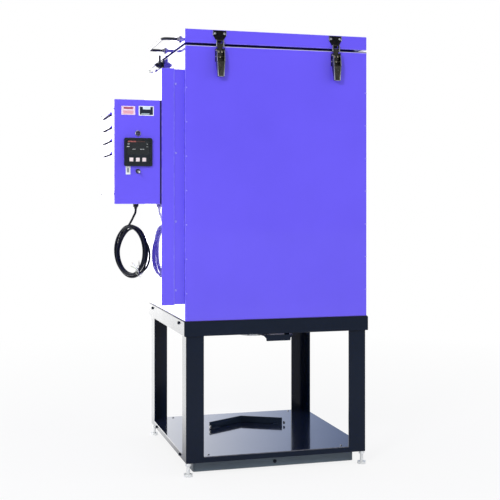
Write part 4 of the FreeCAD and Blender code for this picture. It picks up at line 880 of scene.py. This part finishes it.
# The side housing
# A shallow folded duct on the left wall that carries the wiring, made as a base and a
# lapped cover, with a hemmed edge and painted pan-head screws along the lap.
base_low, base_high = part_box("housing_base")
cover_low, cover_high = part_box("housing_cover")
dress(blue_paint("housing_base_enamel", base_low, base_high), "housing_base", bevel=0.001)
dress(blue_paint("housing_cover_enamel", cover_low, cover_high), "housing_cover")
HEM_RADIUS = 0.0008
HOUSING_SCREW_HEIGHTS = (0.646, 0.883, 1.119, 1.357)
HEM_PAINT = finish("hem_enamel", (0.12, 0.09, 0.88), (0.24, 0.20, 0.92), 0.12, coat=1.0, mottle=0.35)
hem_bead = [(0.0, HEM_RADIUS), (cover_high[2] - cover_low[2] - 0.002, HEM_RADIUS)]
hems = [turning(hem_bead, (cover_high[0], y, cover_low[2] + 0.001), (0, 0, 1), sides=12)
        for y in (cover_low[1] + 0.0004, cover_high[1] - 0.0004)]
surface_piece("housing_cover_hem", hems, HEM_PAINT, "oven")
# The screws take the rivets' paler paint, a painted highlight on their heads.
housing_screws = [screw((cover_high[0] + 0.006, y, height), (0, way, 0)) for height in HOUSING_SCREW_HEIGHTS
                  for y, way in ((base_low[1], -1), (base_high[1], 1))]
surface_piece("housing_screws", housing_screws, RIVET_HIGHLIGHT_PAINT, "oven")

# The control box
# A sheet steel box in the same enamel. Its left cover has four pressed louvres whose open
# lower edges are black strips of painted shade, and a dark strip of painted shade fills the
# joint beside the housing.
case_low, case_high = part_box("control_box")
panel_low, panel_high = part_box("control_box_cover")
dress(blue_paint("control_box_enamel", case_low, case_high), "control_box", bevel=0.0008)
dress(blue_paint("control_cover_enamel", panel_low, panel_high), "control_box_cover", bevel=0.0004)
JOINT_SHADE_PAINT = finish("joint_painted_shade", (0.006, 0.003, 0.045), (0.010, 0.005, 0.060), 0.9, mottle=0.01)


def rounded_block(low, high, radius, across=16):
    """A block with rounded edges: a sphere of the radius whose eight parts are moved apart: a point is
    the centre + sign(normal) (half size - radius) + radius normal."""
    low, high = np.array(low, float), np.array(high, float)
    half = (high - low) / 2
    radius = min(radius, half.min() * 0.999)
    turn = (np.arange(across) + 0.5) * 2 * math.pi / across
    rise = (np.arange(across // 2) + 0.5) * math.pi / (across // 2) - math.pi / 2
    rise = np.concatenate([[-math.pi / 2], rise, [math.pi / 2]])
    normal = np.stack([np.outer(np.cos(rise), np.cos(turn)), np.outer(np.cos(rise), np.sin(turn)),
                       np.broadcast_to(np.sin(rise)[:, None], (len(rise), across))], axis=2)
    centre = (low + high) / 2
    grid = centre + np.sign(normal) * (half - radius) + radius * normal
    bottom = np.broadcast_to([centre[0], centre[1], low[2]], (1, across, 3))
    top = np.broadcast_to([centre[0], centre[1], high[2]], (1, across, 3))
    return np.concatenate([bottom, grid, top])


def block_piece(name, blocks, material, sharp=15):
    """One piece on the oven, made of rounded blocks."""
    surface_piece(name, blocks, material, "oven", sharp)


LOUVRE_MOUTHS = 1.2525 - 0.0457 * np.arange(4)
SLOT_SPANS = ((-0.2490, -0.1640), (-0.1440, -0.0540))
SLOT_OUT, SLOT_IN = -0.4616, -0.4568
SLOT_DEPTH, SLOT_LAP = 0.0034, 0.0003
# Black strips under the louvre hoods are painted shade in their open lower edges.
slots = [rounded_block((SLOT_OUT, front, mouth - SLOT_DEPTH), (SLOT_IN, back, mouth + SLOT_LAP), 0.0005)
         for mouth in LOUVRE_MOUTHS for front, back in SLOT_SPANS]
LOUVRE_SHADE_BLACK = finish("louvre_painted_shade", (0.003, 0.003, 0.003), (0.010, 0.010, 0.010), 0.9, mottle=0.002)
block_piece("louvre_shade_strips", slots, LOUVRE_SHADE_BLACK)
# A dark navy strip in the joint beside the housing, painted shade of the gap.
joint_shade_strip = [rounded_block((case_high[0] - 0.0055, case_low[1] - 0.0004, case_low[2] + 0.0005),
                           (case_high[0] + 0.0002, case_low[1] + 0.0029, case_high[2] - 0.0005), 0.0003)]
block_piece("control_box_joint_shade_strip", joint_shade_strip, JOINT_SHADE_PAINT)
COVER_SCREW_INSET = 0.009
COVER_SCREW_HEIGHTS = (1.267, 0.977)
cover_screws = [screw((panel_low[0] + 0.005, y, height), (-1, 0, 0))
                for y in (case_low[1] + COVER_SCREW_INSET, case_high[1] - COVER_SCREW_INSET)
                for height in COVER_SCREW_HEIGHTS]
surface_piece("control_cover_screws", cover_screws, BRIGHT_STEEL)

# The temperature controller
# A square panel unit with a black moulded bezel and a smoked window over its display,
# dim marks printed beside it, and three pale rubber keys below.
CONTROLLER_PLASTIC = finish("controller_plastic", (0.006, 0.010, 0.016), (0.010, 0.015, 0.022), 0.3,
                            mottle=0.03, grain=0.0006)
dress(CONTROLLER_PLASTIC, "temperature_controller", bevel=0.0006)
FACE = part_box("temperature_controller")[0][1] + 0.002
FACE_X, FACE_Z = -0.3755, 1.120
DISPLAY_DEPTH = -0.0006


def on_face(left, right, bottom, top, proud, depth, radius):
    """A rounded block on the controller's face, placed from the face's middle."""
    return rounded_block((FACE_X + left, FACE - proud, FACE_Z + bottom),
                         (FACE_X + right, FACE + depth, FACE_Z + top), radius)


SMOKED = finish("smoked_window", (0.004, 0.007, 0.010), (0.006, 0.010, 0.013), 0.08, coat=1.0, mottle=0.05)
block_piece("controller_window", [on_face(-0.038, 0.038, -0.008, 0.039, 0.0009, 0.0002, 0.0006)], SMOKED)
LIT_RED = finish("display_segments", (0.30, 0.075, 0.070), (0.36, 0.10, 0.09), 0.5, mottle=0.01)
block_piece("controller_display", [on_face(-0.036, -0.008, 0.0335, 0.0375, 0.0013, DISPLAY_DEPTH, 0.0003)],
            LIT_RED)
DIM_RED = finish("display_dim", (0.055, 0.022, 0.020), (0.075, 0.032, 0.030), 0.5, mottle=0.01)
block_piece("controller_display_dim", [on_face(-0.008, 0.022, 0.0338, 0.0372, 0.0012, DISPLAY_DEPTH, 0.0003)],
            DIM_RED)
PRINT = finish("controller_print", (0.36, 0.38, 0.38), (0.44, 0.46, 0.46), 0.5, mottle=0.01)
MARKS = ((-0.037, -0.030, 0.0255, 0.0285), (-0.039, -0.031, 0.0165, 0.0200), (0.028, 0.033, 0.0262, 0.0280),
         (0.028, 0.033, 0.0170, 0.0188), (-0.020, -0.010, 0.0085, 0.0105), (0.006, 0.020, 0.0085, 0.0105))
block_piece("controller_marks", [on_face(*mark, 0.0012, DISPLAY_DEPTH, 0.0002) for mark in MARKS], PRINT)
KEY_RUBBER = finish("key_rubber", (0.72, 0.60, 0.62), (0.82, 0.72, 0.74), 0.45, mottle=0.02)
KEY_MIDDLES = (-0.0238, -0.0018, 0.0202)
KEY_HALF = 0.0065
keys = [on_face(middle - KEY_HALF, middle + KEY_HALF, -0.0325, -0.0195, 0.0024, 0.0, 0.0014)
        for middle in KEY_MIDDLES]
block_piece("controller_keys", keys, KEY_RUBBER, sharp=35)

# The pilot lamp and the power switch
# A dark domed lamp in a bright bezel, and a toggle switch whose bat and nut are plated; the nut
# is darkened as painted shade for the bat's shadow.
# Beside the switch is a small pale position plate.
LAMP_PLASTIC = finish("lamp_lens", (0.010, 0.006, 0.035), (0.016, 0.010, 0.055), 0.1, coat=1.0, mottle=0.01)
dress(LAMP_PLASTIC, "pilot_lamp")
lamp_low, lamp_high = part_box("pilot_lamp")
lamp_middle = (np.array(lamp_low) + np.array(lamp_high)) / 2
LAMP_BEZEL = [(0.0, 0.0098), (0.0022, 0.0098), (0.0030, 0.0090), (0.0030, 0.0080), (0.0024, 0.0072)]
lamp_bezel = turning(LAMP_BEZEL, (lamp_middle[0], lamp_high[1], lamp_middle[2]), (0, -1, 0), sides=36)
surface_piece("lamp_bezel", [lamp_bezel], BRIGHT_STEEL)
# The nut's dark plate is partly its own colour and partly painted shade for the bat's shadow.
SWITCH_NUT_SHADE_STEEL = finish("switch_nut_painted_shade", (0.10, 0.10, 0.13), (0.20, 0.20, 0.24), 0.25, metallic=1.0,
                      mottle=0.004)
dress(BRIGHT_STEEL, "switch_bat")
dress(SWITCH_NUT_SHADE_STEEL, "switch_bush", bevel=0.0003)
BOX_FACE = -0.3199


def field(left, right, bottom, top, colour, roughness):
    """A plain field of its own colour on a plate, right through it."""
    return (left, BOX_FACE - 0.0101, bottom), (right, BOX_FACE + 0.0099, top), colour, roughness, 0.0


def face_plate(left, right, bottom, top, thickness, radius):
    """A thin plate on the control box's front."""
    return rounded_block((left, BOX_FACE - thickness, bottom), (right, BOX_FACE, top), radius)


PLATE_PAINT = finish("plate_white", (0.70, 0.71, 0.73), (0.78, 0.79, 0.81), 0.4, mottle=0.02, zones=[
    field(-0.4135, -0.4060, 1.0505, 1.0655, (0.22, 0.24, 0.27), 0.4)])
block_piece("switch_plate", [face_plate(-0.4175, -0.4015, 1.0435, 1.0717, 0.0010, 0.0005)], PLATE_PAINT)

# The two blank plates
# Small anodised plates without words, one pale with a red band, one dark with a pale
# border, as makers rivet on for later marking.
PALE_PLATE = finish("pale_plate", (0.74, 0.54, 0.70), (0.82, 0.64, 0.78), 0.35, mottle=0.03, zones=[
    field(-0.4245, -0.3920, 1.2665, 1.2728, (0.38, 0.05, 0.11), 0.35),
    field(-0.4265, -0.3915, 1.2500, 1.2612, (0.74, 0.36, 0.44), 0.35)])
block_piece("blank_plate_pale", [face_plate(-0.4325, -0.3850, 1.2465, 1.2765, 0.0009, 0.0004)],
            PALE_PLATE)
DARK_PLATE = finish("dark_plate", (0.78, 0.80, 0.86), (0.86, 0.88, 0.94), 0.3, mottle=0.03, zones=[
    field(-0.3695, -0.3240, 1.2478, 1.2752, (0.010, 0.016, 0.035), 0.3),
    field(-0.3590, -0.3330, 1.2660, 1.2752, (0.62, 0.72, 0.80), 0.3),
    field(-0.3640, -0.3360, 1.2490, 1.2530, (0.34, 0.44, 0.48), 0.3)])
block_piece("blank_plate_dark", [face_plate(-0.3730, -0.3210, 1.2450, 1.2780, 0.0009, 0.0004)],
            DARK_PLATE)

# The side clamp
# A black plate with a pivot bolt on the left wall, and a lever with a finger beside the
# lid and a plated ball on its end.
dress(BLACK_ENAMEL, "side_clamp_bracket", "side_clamp_lever", bevel=0.0005)
clamp_low, clamp_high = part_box("side_clamp_lever")
hub_low, hub_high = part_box("side_clamp_bracket")
BALL_RADIUS = 0.0104
ball_turn = np.linspace(0, math.pi, 13)[1:-1]
BALL = [(-BALL_RADIUS * math.cos(turn), BALL_RADIUS * math.sin(turn)) for turn in ball_turn]
ball_centre = np.array([(clamp_low[0] + clamp_high[0]) / 2, clamp_high[1] - 0.010,
                        (hub_low[2] + hub_high[2]) / 2])
surface_piece("clamp_ball", [turning(BALL, ball_centre, (0, 1, 0), sides=28)], BRIGHT_STEEL, "clamp_lever")
clamp_bolts = bolt((hub_low[0], (hub_low[1] + hub_high[1]) / 2, ball_centre[2]), (-1, 0, 0))
surface_piece("clamp_pivot_bolt", clamp_bolts, ZINC)
PLATE_SCREW_INSET = 0.006
plate_screws = [screw((hub_high[0] - 0.005, y, height), (-1, 0, 0))
                for y in (hub_low[1] + PLATE_SCREW_INSET, hub_high[1] - PLATE_SCREW_INSET)
                for height in (hub_low[2] + PLATE_SCREW_INSET, hub_high[2] - PLATE_SCREW_INSET)]
surface_piece("clamp_plate_screws", plate_screws, ZINC)

# The hopper, the gate and the outlet
# Under the cavity a welded hopper leads to a square neck, a sliding gate in two grooved
# bars, and a short round spout. The bars and the gate are painted like the stand.
dress(STAINLESS, "hopper", "outlet_neck", "outlet_spout")
dress(STAND_PAINT, "gate_runners", "slide_gate", bevel=0.0004)

# The room
# A plain pale floor and soft light. Beyond it the camera sees plain white, and a
# reflection sees a bright white side behind on the left that falls off all round.
FLOOR_HALF = 30.0
FLOOR_TONE = (0.80, 0.80, 0.81)
FLOOR_BOOST = 2.9


def mix_shaders(tree, share, first, second, output):
    """Between two shaders, by a share, into the tree's output."""
    node = tree.nodes.new("ShaderNodeMixShader")
    for socket, source in zip(node.inputs, (share, first.outputs[0], second.outputs[0])):
        tree.links.new(source, socket)
    tree.links.new(node.outputs[0], tree.nodes[output].inputs["Surface"])


def object_parts(tree):
    """A place in Object coordinates, and its three parts."""
    place = tree.nodes.new("ShaderNodeTexCoord").outputs["Object"]
    parts = tree.nodes.new("ShaderNodeSeparateXYZ")
    tree.links.new(place, parts.inputs[0])
    return place, parts.outputs


floor_mesh = bpy.data.meshes.new("floor")
floor_corners = [(x * FLOOR_HALF, y * FLOOR_HALF, 0) for x, y in ((-1, -1), (1, -1), (1, 1), (-1, 1))]
floor_mesh.from_pydata(floor_corners, [], [(0, 1, 2, 3)])
floor = bpy.data.objects.new("floor", floor_mesh)
bpy.context.scene.collection.objects.link(floor)
floor_paint = bpy.data.materials.new("floor")
floor_paint.use_nodes = True
ground = floor_paint.node_tree
floor_shader = ground.nodes["Principled BSDF"]
floor_shader.inputs["Base Color"].default_value = (*FLOOR_TONE, 1)
floor_shader.inputs["Roughness"].default_value = 0.8
floor_glow = ground.nodes.new("ShaderNodeEmission")
floor_rays = ground.nodes.new("ShaderNodeLightPath").outputs
floor_place, floor_parts = object_parts(ground)
floor_x, floor_y = floor_parts[:2]
floor_distance = ground.nodes.new("ShaderNodeVectorMath")
floor_distance.operation = "LENGTH"
ground.links.new(floor_place, floor_distance.inputs[0])
floor_white = fade(ground, floor_distance.outputs["Value"], 0.9, 3.5, 0.85, 1.0)
floor_mirrored = product(ground, floor_rays["Is Glossy Ray"], fade(ground, floor_y, -0.3, 0.8))
floor_seen = calculate(ground, "MAXIMUM", floor_rays["Is Camera Ray"], floor_mirrored)
floor_slant = calculate(ground, "ADD", floor_x, product(ground, floor_y, 0.4))
floor_left = product(ground, fade(ground, floor_slant, -0.7, -0.2),
                     fade(ground, floor_x, 0.3, 0.9, 1.0, 0.0))
floor_bright = product(ground, floor_rays["Is Glossy Ray"], floor_left)
floor_strength = blend(ground, floor_bright, 1.0, FLOOR_BOOST, colour=False)
ground.links.new(floor_strength, floor_glow.inputs["Strength"])
mix_shaders(ground, product(ground, floor_white, floor_seen), floor_shader, floor_glow,
            "Material Output")
floor_mesh.materials.append(floor_paint)
floor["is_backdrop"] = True

SOFT_TONE, SOFT_STRENGTH = (0.95, 0.97, 1.0, 1), 0.66
COOL_WHITE = (0.46, 0.60, 1.0)
world = bpy.data.worlds.new("world")
world.use_nodes = True
bpy.context.scene.world = world
sky = world.node_tree
soft = sky.nodes["Background"]
soft.inputs["Color"].default_value = SOFT_TONE
soft.inputs["Strength"].default_value = SOFT_STRENGTH
white = sky.nodes.new("ShaderNodeBackground")
rays = sky.nodes.new("ShaderNodeLightPath").outputs
sky_x, sky_y, sky_z = object_parts(sky)[1]
sides = product(sky, fade(sky, sky_x, 0.15, 0.37, 1.5, 0.4), fade(sky, sky_x, -0.75, -0.45, 0.45, 1.0))
glossy = product(sky, fade(sky, sky_y, -0.5, 0.5, 0.34, 1.0), sides)
elsewhere = fade(sky, sky_y, -0.7, -0.3)
glossy = blend(sky, elsewhere, fade(sky, sky_z, 0.0, 0.2, 0.38, 0.24), glossy, colour=False)
cool = product(sky, rays["Is Glossy Ray"], fade(sky, sky_x, 0.15, 0.37))
cool = product(sky, cool, elsewhere)
sky.links.new(blend(sky, cool, (1.0, 1.0, 1.0), COOL_WHITE), white.inputs["Color"])
strength = blend(sky, rays["Is Camera Ray"], glossy, 1.0, colour=False)
sky.links.new(strength, white.inputs["Strength"])
seen_by = [rays[kind] for kind in ("Is Camera Ray", "Is Transmission Ray", "Is Glossy Ray")]
mix_shaders(sky, over_three(sky, "MAXIMUM", seen_by), soft, white, "World Output")

LAMPS = {"key": ((-2.4, -3.4, 2.8), 0.9, 85.0), "fill": ((4.2, -2.4, 2.0), 2.4, 56.0),
         "back": ((-1.3, 4.4, 1.3), 2.4, 32.0), "left": ((-3.4, -0.4, 1.4), 1.6, 10.0),
         "glint": ((-2.4, -3.4, 2.8), 0.9, 11.0)}
LAMP_AIM = np.array([0.1, 0.0, 0.9])
for name, (place, size, watts) in LAMPS.items():
    lamp_data = bpy.data.lights.new(name, "AREA")
    lamp_data.size = size
    lamp_data.energy = watts
    lamp = bpy.data.objects.new(name, lamp_data)
    lamp.location = place
    lamp.visible_glossy = name not in ("key", "fill")
    lamp.visible_diffuse = name != "glint"
    x, y, z = LAMP_AIM - np.array(place)
    lamp.rotation_euler = (math.atan2(math.hypot(x, y), -z), 0, math.atan2(-x, y))
    bpy.context.scene.collection.objects.link(lamp)

bpy.context.scene.view_settings.view_transform = "Standard"
low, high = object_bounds()
